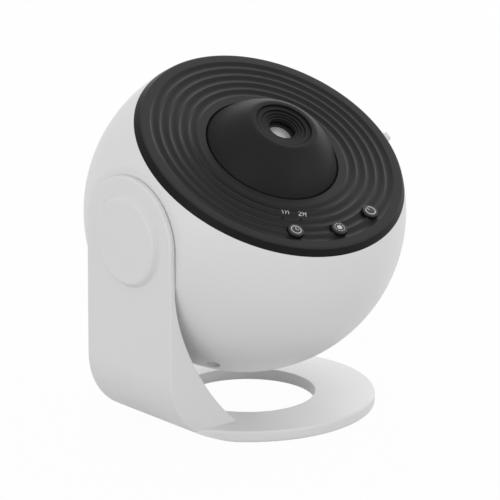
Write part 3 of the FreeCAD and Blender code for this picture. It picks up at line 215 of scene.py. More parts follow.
def mesh_from(points, quads, name="shape"):
    """Object with a mesh of quads: points is (n, 3) in metres, quads is (m, 4) point numbers."""
    mesh = bpy.data.meshes.new(name)
    mesh.vertices.add(len(points))
    mesh.vertices.foreach_set("co", np.asarray(points, float).ravel())
    mesh.loops.add(quads.size)
    mesh.loops.foreach_set("vertex_index", quads.ravel())
    mesh.polygons.add(len(quads))
    mesh.polygons.foreach_set("loop_start", np.arange(0, quads.size, 4))
    mesh.update(calc_edges=True)
    return shown(name, mesh)


floor_points = np.array([[-1, -1, 0], [1, -1, 0], [1, 1, 0], [-1, 1, 0]]) * floor_half
studio_floor = mesh_from(floor_points, np.array([[0, 1, 2, 3]]), "studio_floor")
studio_floor.data.materials.append(sweep.holder)


def soft_lamp(name, direction, distance, size, power):
    """Square lamp at a distance from the ball's centre in a direction, turned to face it."""
    data = bpy.data.lights.new(name, "AREA")
    data.size = size
    data.energy = power
    lamp = shown(name, data)
    towards = Vector(direction).normalized()
    lamp.location = Vector(ball_centre) + towards * distance
    lamp.rotation_euler = towards.to_track_quat("Z", "Y").to_euler()


soft_lamp("lamp_behind", (0.72, 0.70, 0.47), distance=1.2, size=1.0, power=4.4)
soft_lamp("lamp_side", (0.95, 0.15, 0.32), distance=1.2, size=0.45, power=1.1)
soft_lamp("lamp_left", (-1.0, -0.25, 0.05), distance=1.5, size=0.9, power=6.0)
soft_lamp("lamp_front", (0.5, -1.0, 0.05), distance=1.5, size=0.9, power=5.2)

# ---- Ball: white moulded shell ----
# One satin white ABS moulding, hollow, with a flat seat for the arm, four deep screw wells from behind and
# a pocket for the power socket. It is closed by the dark panel, which sits on its rim.
ball_radius = 70 * mm
shell_wall = 2.4 * mm
seam_height = 33 * mm
hollow_top = 40 * mm
seat_place = 62.5 * mm
seat_wall = 3 * mm
tower_circle = 56 * mm
tower_angle = math.radians(37.0)
tower_radius = 4.7 * mm
tower_top = 26 * mm
well_radius = 3.2 * mm
well_floor = 23.6 * mm
hub_bore = 10.08 * mm
collar_radius = 15.58 * mm
collar_end = 55.6 * mm
glide_recess = 16.4 * mm
glide_floor = 61.95 * mm
socket_middle = -28.8 * mm
socket_mouth = 61.1 * mm
socket_half = np.array([4.7, 1.85]) * mm
pocket_half = np.array([6.2, 3.7]) * mm
pocket_wall = 2.6 * mm
nub_window = np.array([[50.0, 80.0], [-6.3, 2.5], [29.6, 40.0]]) * mm
beyond = 0.1
sharp_turn = math.radians(32.0)


def arc(radius, start, end, count):
    """Points on a circle about the middle of a plane: radius (cos a, sin a), a from start to end degrees."""
    turn = np.radians(np.linspace(start, end, count))
    return radius * np.column_stack([np.cos(turn), np.sin(turn)])


def tidy_up(shape):
    """Merges doubled points, such as those at a pole, and turns every face outwards."""
    cleaner = bmesh.new()
    cleaner.from_mesh(shape.data)
    bmesh.ops.remove_doubles(cleaner, verts=cleaner.verts, dist=1e-7)
    bmesh.ops.dissolve_degenerate(cleaner, edges=cleaner.edges, dist=1e-8)
    bmesh.ops.recalc_face_normals(cleaner, faces=cleaner.faces)
    cleaner.to_mesh(shape.data)
    cleaner.free()
    return shape


def turned(profile, steps, axis="z", middle=(0, 0)):
    """Closed profile of (r, h) points carried round an axis: (r cos a, r sin a, h), a over the full turn.
    axis "x" carries it round the X axis instead; middle moves the axis sideways."""
    turn = np.linspace(0, 2.0 * math.pi, steps, endpoint=False)
    r, h = np.asarray(profile, float).T
    first = r[:, None] * np.cos(turn) + middle[0]
    second = r[:, None] * np.sin(turn) + middle[1]
    height = np.repeat(h[:, None], steps, axis=1)
    order = [first, second, height] if axis == "z" else [height, first, second]
    points = np.stack(order, axis=-1).reshape(-1, 3)
    return tidy_up(mesh_from(points, grid_faces(len(r), steps, True, True)))


def rod(radius, low, high, steps=48, axis="z", middle=(0, 0)):
    """Plain cylinder as a tool for cutting and joining."""
    return turned([(0, low), (radius, low), (radius, high), (0, high)], steps, axis, middle)


def together(shapes):
    """Joins meshes that don't touch into one object, so that one cut serves them all."""
    gathered = bmesh.new()
    for shape in shapes:
        gathered.from_mesh(shape.data)
        bpy.data.meshes.remove(shape.data)
    mesh = bpy.data.meshes.new("shapes")
    gathered.to_mesh(mesh)
    gathered.free()
    return shown("shapes", mesh)


def rods_at(places, radius, low, high, steps=40):
    """Cylinders standing on (x, y) places, as one tool."""
    return together([rod(radius, low, high, steps, middle=place) for place in places])


def slab(spans):
    """Plain box from [[x0, x1], [y0, y1], [z0, z1]], as a tool."""
    x, y, z = np.asarray(spans, float)
    around = [(x[0], y[0]), (x[1], y[0]), (x[1], y[1]), (x[0], y[1])]
    return mesh_from([(*place, level) for level in z for place in around], np.array(
        [[0, 3, 2, 1], [4, 5, 6, 7], [0, 1, 5, 4], [1, 2, 6, 5], [2, 3, 7, 6], [3, 0, 4, 7]]))


def joined(shape, operation, *tools):
    """Cuts tools from a shape, or unites or intersects them with it, one by one, and removes them."""
    for tool in tools:
        step = shape.modifiers.new("step", "BOOLEAN")
        step.operation = operation
        step.object = tool
        step.solver = "EXACT"
        old = shape.data
        seen = shape.evaluated_get(bpy.context.evaluated_depsgraph_get())
        shape.data = bpy.data.meshes.new_from_object(seen)
        shape.modifiers.clear()
        bpy.data.meshes.remove(old)
        bpy.data.objects.remove(tool)
    return shape


def cut(shape, *tools):
    return joined(shape, "DIFFERENCE", *tools)


def keep_inside(shape, tool):
    return joined(shape, "INTERSECT", tool)


def keep_right(shape, limit):
    """Keeps what lies to the right of x = limit."""
    return keep_inside(shape, slab([(limit, beyond), (-beyond, beyond), (-beyond, beyond)]))


def read(rows, field):
    """A vector of each of a mesh's points or faces, as an (n, 3) array."""
    values = np.empty(len(rows) * 3)
    rows.foreach_get(field, values)
    return values.reshape(-1, 3)


def settle(shape, name, body, finish, place=leaned, replaces=None):
    """Moves a finished mesh to its place, shades it smooth but for its sharp edges, and makes it ride."""
    mesh = shape.data
    mesh.vertices.foreach_set("co", place(read(mesh.vertices, "co")).ravel())
    mesh.polygons.foreach_set("use_smooth", np.ones(len(mesh.polygons), bool))
    mesh.set_sharp_from_angle(angle=sharp_turn)
    mesh.materials.clear()
    mesh.materials.append(finish)
    mesh.update()
    shape.name = name
    mesh.name = name
    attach(shape, body)
    if replaces:
        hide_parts(replaces)


def moulded(name, colour, shade, roughness, grain=0.3 * mm, depth=0.02 * mm, gloss=0.5, hollow=None):
    """Moulded plastic: spark-eroded grain as bump, cloudy gloss, and a slight change of tone between
    colour and shade where the melt cooled unevenly and hands have polished it. Where the mesh's own
    hollow attribute is 1, the colour turns to the hollow colour, which is painted shade: darker grooves,
    corners and low walls, where shade falls."""
    finish = Finish(name)
    place = finish.place()
    cloud = finish.noise(place, scale=22.0, detail=3.0, roughness=0.55)
    grains = finish.noise(place, scale=1.0 / grain, detail=2.0, roughness=0.6)
    specks = finish.cells(place, scale=0.45 / grain)
    base = finish.blend(cloud, colour, shade)
    if hollow:
        # painted shade: the colour darkens to the hollow colour as the hollow attribute rises
        shade_share = finish.node("ShaderNodeAttribute", {"attribute_name": "hollow"}, output=2)
        base = finish.blend(shade_share, base, hollow)
    return finish.surface({
        "Base Color": base, "Specular IOR Level": gloss,
        "Roughness": finish.spread(cloud + grains * 0.25, 0.35, 0.9, roughness - 0.05, roughness + 0.06),
        "Normal": finish.bump(grains * 0.7 + specks * 0.3, 0.6, depth)})


def socket_tool(half, start):
    """Box about the power socket's middle, from a depth in the shell to the outside."""
    return slab([(-half[0], half[0]), (start, beyond), (socket_middle - half[1], socket_middle + half[1])])


white_plastic = moulded("white_plastic", (0.71, 0.71, 0.71), (0.685, 0.686, 0.69),
                        roughness=0.42, grain=0.35 * mm, gloss=0.35)
seam_turn = math.degrees(math.asin(seam_height / ball_radius))
ball_profile = np.vstack([[(0, seam_height)], arc(ball_radius, seam_turn, -90.0, 120)])
inner_radius = ball_radius - shell_wall
hollow_turn = math.degrees(math.asin(hollow_top / inner_radius))
hollow_profile = np.vstack([[(0, hollow_top)], arc(inner_radius, hollow_turn, -90.0, 60)])
well_places = [(tower_circle * math.sin(a), -tower_circle * math.cos(a))
               for a in (tower_angle, -tower_angle, math.pi - tower_angle, tower_angle - math.pi)]
ball_shell = turned(ball_profile, 288)
ball_hollow = turned(hollow_profile, 128)
keep_right(ball_hollow, seat_wall - seat_place)
cut(ball_hollow,
    rods_at(well_places, tower_radius, -beyond, tower_top),
    rod(collar_radius, -seat_place, -collar_end, 64, axis="x"),
    socket_tool(pocket_half + pocket_wall, socket_mouth - pocket_wall))
keep_right(ball_shell, -seat_place)
cut(ball_shell,
    ball_hollow,
    rods_at(well_places, well_radius, -beyond, well_floor),
    rod(hub_bore, -beyond, -collar_end + mm, 64, axis="x"),
    rod(glide_recess, -beyond, -glide_floor, 64, axis="x"),
    socket_tool(pocket_half, socket_mouth),
    socket_tool(socket_half, socket_mouth - 2 * pocket_wall),
    slab(nub_window))
settle(ball_shell, "ball_shell", "head", white_plastic, replaces="rear_shell")

# ---- Front panel: rippled black disc ----
# One matt black ABS moulding with five shallow ripples round its middle hole. Its edge carries on the ball's
# curve, a ring behind it drops into the white shell, and screws from behind hold it by four posts. More
# posts carry the plate, the focusing sleeve and the control board.
panel_top = 36.4 * mm
panel_under = 33.8 * mm
rim_round = 0.6 * mm
rim_flat = 3.6 * mm
groove_count = 5
groove_pitch = 4.4 * mm
groove_depth = 0.65 * mm
crest_flat = 0.3 * mm
panel_hole = 30 * mm
edge_break = 0.3 * mm
recess_radius = 31.3 * mm
recess_top = 34.4 * mm
spigot = np.array([57.199, 58.699]) * mm
spigot_low = 30.4 * mm
post_lap = 0.6 * mm
screw_post = 2.8 * mm
plate_post = 3 * mm
plate_places = [(x * 34 * mm, y * 16 * mm) for x in (-1, 1) for y in (-1, 1)]
plate_top = 20.8 * mm
sleeve_circle = 34.6 * mm
sleeve_turns = np.radians([45.0, 135.0, -135.0, -45.0])
sleeve_top = 31.8 * mm
board_post = 2.6 * mm
board_circle = 45.5 * mm
board_turns = np.radians([35.0, -35.0])
board_top = 29.6 * mm
button_radius = 3.5 * mm
button_fit = 0.3 * mm
button_circle = 50.312 * mm
button_angle = math.radians(24.7)
pipe_radius = 0.75 * mm
pipe_circle = 42.392 * mm
pipe_spread = math.radians(5.75)
band_inside = 58 * mm
band_lower = seam_height + 0.1 * mm
band_upper = panel_top - 0.35 * mm


def corner(start, tip, end, count=7):
    """Rounded corner: (1-t)^2 start + 2t(1-t) tip + t^2 end, t from 0 to 1."""
    t = np.linspace(0, 1.0, count)[:, None]
    return (1 - t) ** 2 * np.array(start) + 2 * t * (1 - t) * np.array(tip) + t ** 2 * np.array(end)


def on_panel(angle, circle):
    """(x, y) at an angle from the panel's lowest point, counted towards +X."""
    return np.array([circle * math.sin(angle), -circle * math.cos(angle)])


def unite(shape, *tools):
    return joined(shape, "UNION", *tools)


def mark_painted_shade(shape, rule):
    """Stores rule(r, z) as the mesh's hollow attribute, the share of painted shade: 0 for none, 1 for full.
    """
    x, y, z = read(shape.data.vertices, "co").T
    values = np.asarray(rule(np.hypot(x, y), z), float)
    shape.data.attributes.new("hollow", "FLOAT", "POINT").data.foreach_set("value", values)


rim_edge = math.sqrt(ball_radius ** 2 - panel_top ** 2) - rim_round
groove_end = rim_edge - rim_flat
groove_start = groove_end - groove_count * groove_pitch


def ripple_height(radius):
    """Face of the panel. Each flute is the arc of a circle of radius R = (w^2 / 4 + d^2) / 2d, w its width
    and d its depth: panel_top + R - d - sqrt(R^2 - (t - w / 2)^2), t counted inwards from its outer edge."""
    width = groove_pitch - crest_flat
    bow = (width ** 2 / 4 + groove_depth ** 2) / (2 * groove_depth)
    t = np.mod(groove_end - radius, groove_pitch)
    drop = np.sqrt(bow ** 2 - np.minimum(t - width / 2, width / 2) ** 2) - (bow - groove_depth)
    fluted = (radius < groove_end) & (radius > groove_start)
    return panel_top - np.where(fluted, np.maximum(drop, 0.0), 0.0)


round_low = panel_top - rim_round
round_turn = math.degrees(math.asin(round_low / ball_radius))
round_edge = ball_radius * math.cos(math.radians(round_turn))
rim_tip = (round_edge - rim_round * round_low / round_edge, panel_top)
flute_t = np.append((groove_pitch - crest_flat) * np.linspace(0, 1.0, 21), groove_pitch - 0.01 * mm)
ripple_r = np.concatenate([groove_end - i * groove_pitch - flute_t for i in range(groove_count)])
panel_profile = np.vstack([
    arc(ball_radius, seam_turn, round_turn, 10)[:-1],
    corner((round_edge, round_low), rim_tip, (rim_edge, panel_top)),
    np.column_stack([ripple_r, ripple_height(ripple_r)]),
    [(panel_hole + edge_break, panel_top), (panel_hole, panel_top - edge_break), (panel_hole, recess_top),
     (recess_radius, recess_top), (recess_radius, panel_under), (spigot[0], panel_under),
     (spigot[0], spigot_low), (spigot[1], spigot_low), (spigot[1], seam_height)]])
post_root = panel_under + post_lap
front_panel = unite(turned(panel_profile, 320), together([
    rods_at(well_places, screw_post, tower_top, post_root),
    rods_at(plate_places, plate_post, plate_top, post_root),
    rods_at([on_panel(a, sleeve_circle) for a in sleeve_turns], plate_post, sleeve_top, post_root),
    rods_at([on_panel(a, board_circle) for a in board_turns], board_post, board_top, post_root)]))
button_places = {"timer": on_panel(-button_angle, button_circle), "light": on_panel(0, button_circle),
                 "power": on_panel(button_angle, button_circle)}
pipe_places = [on_panel(-button_angle + side * pipe_spread, pipe_circle) for side in (-1, 1)]
cut(front_panel, together([
    rods_at(button_places.values(), button_radius + button_fit, panel_under - mm, panel_top + mm, 96),
    rods_at(pipe_places, pipe_radius, panel_under - mm, panel_top + mm, 32)]))
# Painted shade in the ripples: the hollow attribute grows with a flute's depth, so the valleys are darker.
mark_painted_shade(front_panel, lambda r, z: np.where(
    z > panel_top - mm, (panel_top - ripple_height(r)) / groove_depth, 0))
# Painted shade: faces of the rim band round the panel's outer edge get a second, darker copy of the black.
x, y, z = read(front_panel.data.polygons, "center").T
in_shaded_band = (z > band_lower) & (z < band_upper) & (np.hypot(x, y) > band_inside)
black_plastic = moulded("black_plastic", (0.026, 0.026, 0.0265), (0.021, 0.021, 0.0215),
                        roughness=0.38, depth=0.03 * mm, gloss=0.13, hollow=(0.013, 0.013, 0.0135))
band_shade_plastic = moulded("band_shade_plastic", (0.010, 0.010, 0.0105), (0.008, 0.008, 0.0085),
                       roughness=0.45, gloss=0.08)
settle(front_panel, "panel_disc", "head", black_plastic, replaces="front_panel")
front_panel.data.materials.append(band_shade_plastic)
front_panel.data.polygons.foreach_set("material_index", in_shaded_band.astype(np.int32))
front_panel.data.update()

# ---- Focusing cone ----
# A domed cone of the same black plastic that the fingers turn to focus. Its mouth steps down in rings to
# the lens, and a drum with three slots below it drives the lens barrel's pins.
cone_base = 29.4 * mm
cone_rise = 15.35 * mm
cone_bulge = 1.5 * mm
cone_wall = 2 * mm
lip_radius = 15.1 * mm
lip_round = 1.2 * mm
lip_top = panel_top + cone_rise
funnel_radii = np.array([12.75, 10.2, 8.5, 7.2, 6.1]) * mm
funnel_drops = np.array([0.7, 0.55, 0.45, 0.4]) * mm
cone_under = lip_top - funnel_drops.sum() - 1.85 * mm
drum = np.array([12.55, 14.35]) * mm
drum_low = 32.4 * mm
drum_lap = 0.6 * mm
rim_reach = 31 * mm
rim_span = np.array([32.1, 34.1]) * mm
step_round = 0.12 * mm
slot_half = 1.75 * mm
slot_top = 42.65 * mm
mark_reach = 0.01 * mm


def swollen(start, end, sagitta, shares):
    """Points at shares of the way along the circle's arc from start to end that swells out by sagitta."""
    start, end = np.array(start), np.array(end)
    chord = np.linalg.norm(end - start)
    along = (end - start) / chord
    side = np.array([along[1], -along[0]])
    radius = (chord ** 2 / 4 + sagitta ** 2) / (2 * sagitta)
    turn = math.asin(chord / (2 * radius)) * (2 * shares[:, None] - 1)
    swell = sagitta - radius + radius * np.cos(turn)
    return start + along * (chord / 2 + radius * np.sin(turn)) + side * swell


def thirds(tools, first_turn=0.0):
    """Turns three like tools to a third of a turn from each other and joins them."""
    for count, tool in enumerate(tools):
        tool.data.transform(Matrix.Rotation(math.radians(first_turn + 120.0 * count), 4, "Z"))
    return together(tools)


last_share = 1.0 - lip_round / math.hypot(cone_base - lip_radius, cone_rise)
side_points = swollen((cone_base, panel_top), (lip_radius, lip_top), cone_bulge,
                      np.linspace(0, last_share, 60))
funnel, step_feet, level = [(lip_radius - lip_round, lip_top)], [], lip_top
for radius, drop in zip(funnel_radii, funnel_drops):
    funnel.extend(corner((radius + step_round, level), (radius, level), (radius, level - step_round), 4))
    level -= drop
    step_feet.append((radius, level))
    funnel.append((radius, level))
cone_profile = np.vstack([
    side_points[:-1],
    corner(side_points[-1], (lip_radius, lip_top), (lip_radius - lip_round, lip_top), 10)[:-1],
    funnel,
    [(funnel_radii[-1], level), (funnel_radii[-1], cone_under), (drum[0], cone_under), (drum[0], drum_low),
     (drum[1], drum_low)],
    swollen((cone_base - cone_wall, panel_top), (drum[1], cone_under + drum_lap), cone_bulge,
            np.linspace(1, 0, 30)),
    [(cone_base - cone_wall, rim_span[0]), (rim_reach, rim_span[0]), (rim_reach, rim_span[1]),
     (cone_base, rim_span[1])]])
focus_dome = turned(cone_profile, 256)
slot_spans = [(-slot_half, slot_half), (-drum[1] - mm, -drum[0] + mm), (drum_low - mm, slot_top)]
cut(focus_dome, thirds([slab(slot_spans) for _ in range(3)]))
# Painted shade: a dark line at the inner corner of each step in the funnel.
mark_painted_shade(focus_dome, lambda r, z: sum(
    ((np.abs(r - radius) < mark_reach) & (np.abs(z - level) < mark_reach)).astype(float)
    for radius, level in step_feet))
# The cone's black is darker than the panel's: partly its own tone, partly painted shade for its sides.
cone_plastic = moulded("cone_plastic", (0.015, 0.015, 0.0155), (0.012, 0.012, 0.0125),
                       roughness=0.5, depth=0.03 * mm, gloss=0.11, hollow=(0.002, 0.002, 0.002))
settle(focus_dome, "focus_dome", "focus_cone", cone_plastic, replaces="focus_cone")

# ---- Buttons and their printed signs ----
# Three round keys of the panel's plastic, each kept in by a flange behind the panel. A pale ink sign is
# printed on each: a clock for the timer, a dot in a dashed ring for the light, and the usual power sign.
button_low = 32.4 * mm
button_flange_top = 33.7 * mm
button_top = panel_top + 1.3 * mm
button_flange = 4.5 * mm
button_edge = 0.5 * mm
# Painted shade: each key's side wall darkens downwards from this height towards the panel.
painted_shade_top = button_top - 0.2 * mm
painted_shade_height = 0.9 * mm
ink_rise = 0.03 * mm
ink_sink = 0.05 * mm
ink_columns = 7
sign_ring = 2.2 * mm
ring_line = 0.42 * mm
hand_line = 0.36 * mm
dash_line = 0.28 * mm
bar_line = 0.4 * mm
bar_end = 0.5 * mm
dot_radius = 1.2 * mm
clock_hands = np.array([(0, 1.55), (0, 0.8), (0, 0), (0.6, 0), (1.15, 0)]) * mm


def pale_ink():
    """Matt grey ink whose tone wears unevenly."""
    finish = Finish("pale_ink")
    wear = finish.noise(finish.place(), scale=1800.0, detail=3.0)
    return finish.surface({
        "Base Color": finish.blend(wear, (0.60, 0.60, 0.60), (0.42, 0.42, 0.42)), "Roughness": 0.55,
        "Normal": finish.bump(wear, 0.4, 0.01 * mm)})


def stroke(path, width, height, closed=False):
    """Thin strip of ink along an (x, y) path. Its points across are path + side * width / 2 * normal, side
    from -1 to 1; its top lies ink_rise above height(x, y), and its foot is sunk."""
    path = np.asarray(path, float)
    ahead = np.roll(path, -1, 0) - path
    behind = path - np.roll(path, 1, 0)
    if not closed:
        ahead[-1] = behind[-1]
        behind[0] = ahead[0]
    along = unit(unit(ahead) + unit(behind))
    normal = np.column_stack([-along[:, 1], along[:, 0]])
    rows = np.stack([path + side * width / 2 * normal for side in np.linspace(-1, 1, ink_columns)], axis=1)
    level = height(rows[..., 0], rows[..., 1])
    loop = np.concatenate([np.dstack([rows, level + ink_rise]),
                           np.dstack([rows, level - ink_sink])[:, ::-1]], axis=1)
    quads = [grid_faces(len(rows), 2 * ink_columns, closed, True)]
    if not closed:
        j = np.arange(ink_columns - 1)
        ends = np.column_stack([j, j + 1, 2 * ink_columns - 2 - j, 2 * ink_columns - 1 - j])
        quads += [ends, ends[:, ::-1] + 2 * ink_columns * (len(rows) - 1)]
    return tidy_up(mesh_from(loop.reshape(-1, 3), np.vstack(quads)))


def on_key(path, width, closed=False):
    """Stroke of ink on a button's flat top."""
    return stroke(path, width, lambda x, y: np.full(np.shape(x), button_top), closed)


def sign_strokes(name):
    """Strokes of one button's sign, about the button's middle."""
    if name == "timer":
        return [on_key(arc(sign_ring, 0, 355, 72), ring_line, True), on_key(clock_hands, hand_line)]
    if name == "light":
        dashes = [on_key(arc(sign_ring, a, a + 24, 8), dash_line) for a in range(0, 360, 36)]
        return dashes + [rod(dot_radius, button_top - ink_sink, button_top + ink_rise)]
    return [on_key(arc(sign_ring, 113, 427, 60), ring_line),
            on_key(np.linspace((0, sign_ring), (0, bar_end), 9), bar_line)]


ink = pale_ink()
button_profile = np.vstack([
    [(0, button_low), (button_flange, button_low), (button_flange, button_flange_top),
     (button_radius, button_flange_top), (button_radius, painted_shade_top - painted_shade_height)],
    corner((button_radius, button_top - button_edge), (button_radius, button_top),
           (button_radius - button_edge, button_top), 8),
    [(0, button_top)]])
button_plastic = moulded("button_plastic", (0.036, 0.036, 0.037), (0.028, 0.028, 0.029),
                         roughness=0.46, grain=0.25 * mm, gloss=0.3, hollow=(0.004, 0.004, 0.004))
for name, turn in (("timer", -button_angle), ("light", 0.0), ("power", button_angle)):
    key = turned(button_profile, 96, middle=button_places[name])
    # Painted shade on the key's side wall, where it sinks into its hole.
    mark_painted_shade(key, lambda r, z: np.clip((painted_shade_top - z) / painted_shade_height, 0.0, 1.0))
    settle(key, name + "_key", name + "_button", button_plastic, replaces=name + "_button")
    sign = together(sign_strokes(name))
    sign.data.transform(Matrix.Translation((*button_places[name], 0)) @ Matrix.Rotation(turn, 4, "Z"))
    settle(sign, name + "_sign", name + "_button", ink)

# ---- Timer words ----
# The words 1H and 2H are printed in the same pale ink on the ripples, one above each timer lamp. They are
# turned with the timer button.
letter_height = 2.3 * mm
letter_width = 1.45 * mm
letter_pitch = 2.1 * mm
word_line = 0.31 * mm
word_places = {"1H": np.array([-17.9, -33.6]) * mm, "2H": np.array([-10.55, -37.0]) * mm}
word_turn = np.array([[math.cos(button_angle), -math.sin(button_angle)],
                      [math.sin(button_angle), math.cos(button_angle)]])


def letter_paths(letter):
    """Strokes of a plain letter, as shares of its width and height from its lower left."""
    if letter == "1":
        return [np.linspace((0.22, 0.78), (0.6, 1), 6), np.linspace((0.6, 1), (0.6, 0), 14)]
    if letter == "2":
        bowl = arc(1.0, 160, -35, 16) * (0.46, 0.27) + (0.5, 0.72)
        slope = np.linspace(bowl[-1], (0.04, 0.02), 12)
        return [np.vstack([bowl, slope[1:]]), np.linspace((0, 0), (1, 0), 8)]
    return [np.linspace((0.04, 0), (0.04, 1), 14), np.linspace((0.96, 0), (0.96, 1), 14),
            np.linspace((0.04, 0.5), (0.96, 0.5), 8)]


for word, middle in word_places.items():
    strokes = []
    for side, letter in zip((-1, 1), word):
        start = np.array([side * letter_pitch - letter_width, -letter_height]) / 2
        for path in letter_paths(letter):
            placed = (path * (letter_width, letter_height) + start) @ word_turn + middle
            strokes.append(stroke(placed, word_line, lambda x, y: ripple_height(np.hypot(x, y))))
    settle(together(strokes), "word_" + word, "head", ink)

# ---- Projection lens ----
# The front lens, a low polished dome with a flat rim, sits in a black barrel whose front ring holds it
# down. The barrel slides in the focusing sleeve as the cone turns.
barrel_top = 46.3 * mm
barrel_low = 33.3 * mm
barrel_bore = 7.8 * mm
barrel_outer = 9.95 * mm
barrel_edge = 0.25 * mm
aperture = 5.1 * mm
seat_front = 45.5 * mm
pin_radius = 1.45 * mm
pin_span = (-11.5 * mm, -7 * mm)
pin_height = 39.5 * mm
lens_radius = 7.7 * mm
lens_low = seat_front - 2.2 * mm
lens_flat = 5 * mm
lens_dome = 0.6 * mm


def clear_glass():
    """Coated lens glass: faint haze and dust change its tone and its gloss."""
    finish = Finish("lens_glass")
    place = finish.place()
    haze = finish.noise(place, scale=260.0, detail=4.0)
    dust = finish.noise(place, scale=2400.0, detail=2.0)
    return finish.surface({
        "Base Color": finish.blend(haze, (0.72, 0.72, 0.73), (0.62, 0.62, 0.63)),
        "Roughness": finish.spread(haze * 0.7 + dust * 0.3, 0.3, 0.7, 0.10, 0.22),
        "Transmission Weight": 0.25, "IOR": 1.52, "Coat Weight": 0.6, "Coat Roughness": 0.04,
        "Normal": finish.bump(dust, 0.15, 0.01 * mm)})


inner_plastic = moulded("inner_plastic", (0.020, 0.020, 0.021), (0.014, 0.014, 0.015),
                        roughness=0.55, depth=0.03 * mm, gloss=0.25)
barrel_profile = np.vstack([
    [(barrel_bore, barrel_low), (barrel_outer, barrel_low)],
    corner((barrel_outer, barrel_top - barrel_edge), (barrel_outer, barrel_top),
           (barrel_outer - barrel_edge, barrel_top), 5),
    corner((aperture + barrel_edge, barrel_top), (aperture, barrel_top),
           (aperture, barrel_top - barrel_edge), 5),
    [(aperture, seat_front), (barrel_bore, seat_front)]])
lens_tube = turned(barrel_profile, 160)
cut(lens_tube, thirds([rod(pin_radius, *pin_span, 32, axis="x", middle=(0, pin_height))
                       for _ in range(3)], 90.0))
settle(lens_tube, "lens_tube", "lens_barrel", inner_plastic, replaces="lens_barrel")
dome_radius = (lens_flat ** 2 + lens_dome ** 2) / (2 * lens_dome)
dome_r = np.linspace(lens_flat, 0.0, 24)
dome_z = seat_front + lens_dome - dome_radius + np.sqrt(dome_radius ** 2 - dome_r ** 2)
lens_profile = np.vstack([[(0, lens_low), (lens_radius, lens_low), (lens_radius, seat_front)],
                          np.column_stack([dome_r, dome_z])])
lens_glass = clear_glass()
settle(turned(lens_profile, 128), "front_glass", "lens_barrel", lens_glass,
       replaces="front_lens")

# ---- Stand: arm, foot and ring ----
# One moulding of the ball's white ABS. A flat arm with a round top bends into a flat ring, and thickens on
# its inner side on the way, where the ball's curve is dished out of it. A screwed plate closes it below.
arm_half = 28.1 * mm
arm_outer = 65.7 * mm
arm_inner = 62.9 * mm
bend_radius = 30 * mm
base_low = -87.5 * mm
ring_top = -82.4 * mm
ring_radius = 55.7 * mm
ring_hole = 29.5 * mm
ring_middle = 1.5 * mm
ring_wall = 2.2 * mm
ring_roof = 1.8 * mm
flare_radius = 12 * mm
flare_lap = 0.15 * mm
dish_radius = 71 * mm
stand_edge = 1 * mm
soft_edge = 0.4 * mm
edge_guard = 0.2 * mm
foot_end = -26 * mm
hidden_lap = 0.02 * mm
hub_radius = 10 * mm
hub_span = (-63.5 * mm, -53 * mm)
limit_half = 80 * mm
limit_top = -60 * mm
hole_reach = 8 * mm
screw_profile = np.array([(0, -70), (4.2, -70), (4.2, -61), (2.15, -61), (2.15, -50), (0, -50)]) * mm
gusset_poles = np.array([(-62.9, -17.0), (-62.9, -38.0), (-47.5, -66.0), (-29.0, -82.4)]) * mm
bend_middle = np.array([bend_radius - arm_outer, base_low + bend_radius])


def gusset(count):
    """Cubic curve of the arm's inner side: (1-t)^3 p0 + 3t(1-t)^2 p1 + 3t^2(1-t) p2 + t^3 p3."""
    t = np.linspace(0, 1.0, count)[:, None]
    weights = [(1 - t) ** 3, 3 * t * (1 - t) ** 2, 3 * t ** 2 * (1 - t), t ** 3]
    return sum(weight * pole for weight, pole in zip(weights, gusset_poles))


def arm_stations():
    """Outer and inner points of the arm's side view in pairs, from the hinge down: level with each other on
    the arm, on one ray from the bend's middle round the bend, and above each other under the ring."""
    curve = gusset(600)
    level = np.concatenate([np.linspace(0, gusset_poles[0, 1], 8, endpoint=False),
                            np.linspace(gusset_poles[0, 1], bend_middle[1], 40, endpoint=False)])
    outer = [np.column_stack([np.full(len(level), -arm_outer), level])]
    inner = [np.column_stack([np.interp(-level, -curve[:, 1], curve[:, 0]), level])]
    turn = np.linspace(0, math.pi / 2, 48)
    away = curve - bend_middle
    reach = np.interp(turn, np.arctan2(-away[:, 1], -away[:, 0]), np.linalg.norm(away, axis=1))
    ray = -np.column_stack([np.cos(turn), np.sin(turn)])
    outer.append(bend_middle + bend_radius * ray)
    inner.append(bend_middle + reach[:, None] * ray)
    along = np.linspace(bend_middle[0], foot_end, 12)[1:]
    outer.append(np.column_stack([along, np.full(len(along), base_low + hidden_lap)]))
    inner.append(np.column_stack([along, np.interp(along, curve[:, 0], curve[:, 1]) - hidden_lap]))
    return np.vstack(outer), np.vstack(inner)


def edge_steps(radius):
    """Distances from an edge and the depths of its rounding there, (radius (1 - cos a), radius (1 - sin a)),
    and then a few steps on over the flat to the middle."""
    away, sink = (radius - arc(radius, 0, 90, 9)).T
    inside = np.append(radius + edge_guard, np.linspace(radius + 2 * mm, arm_half, 8))
    return np.append(away, inside), np.append(sink, np.zeros(len(inside)))


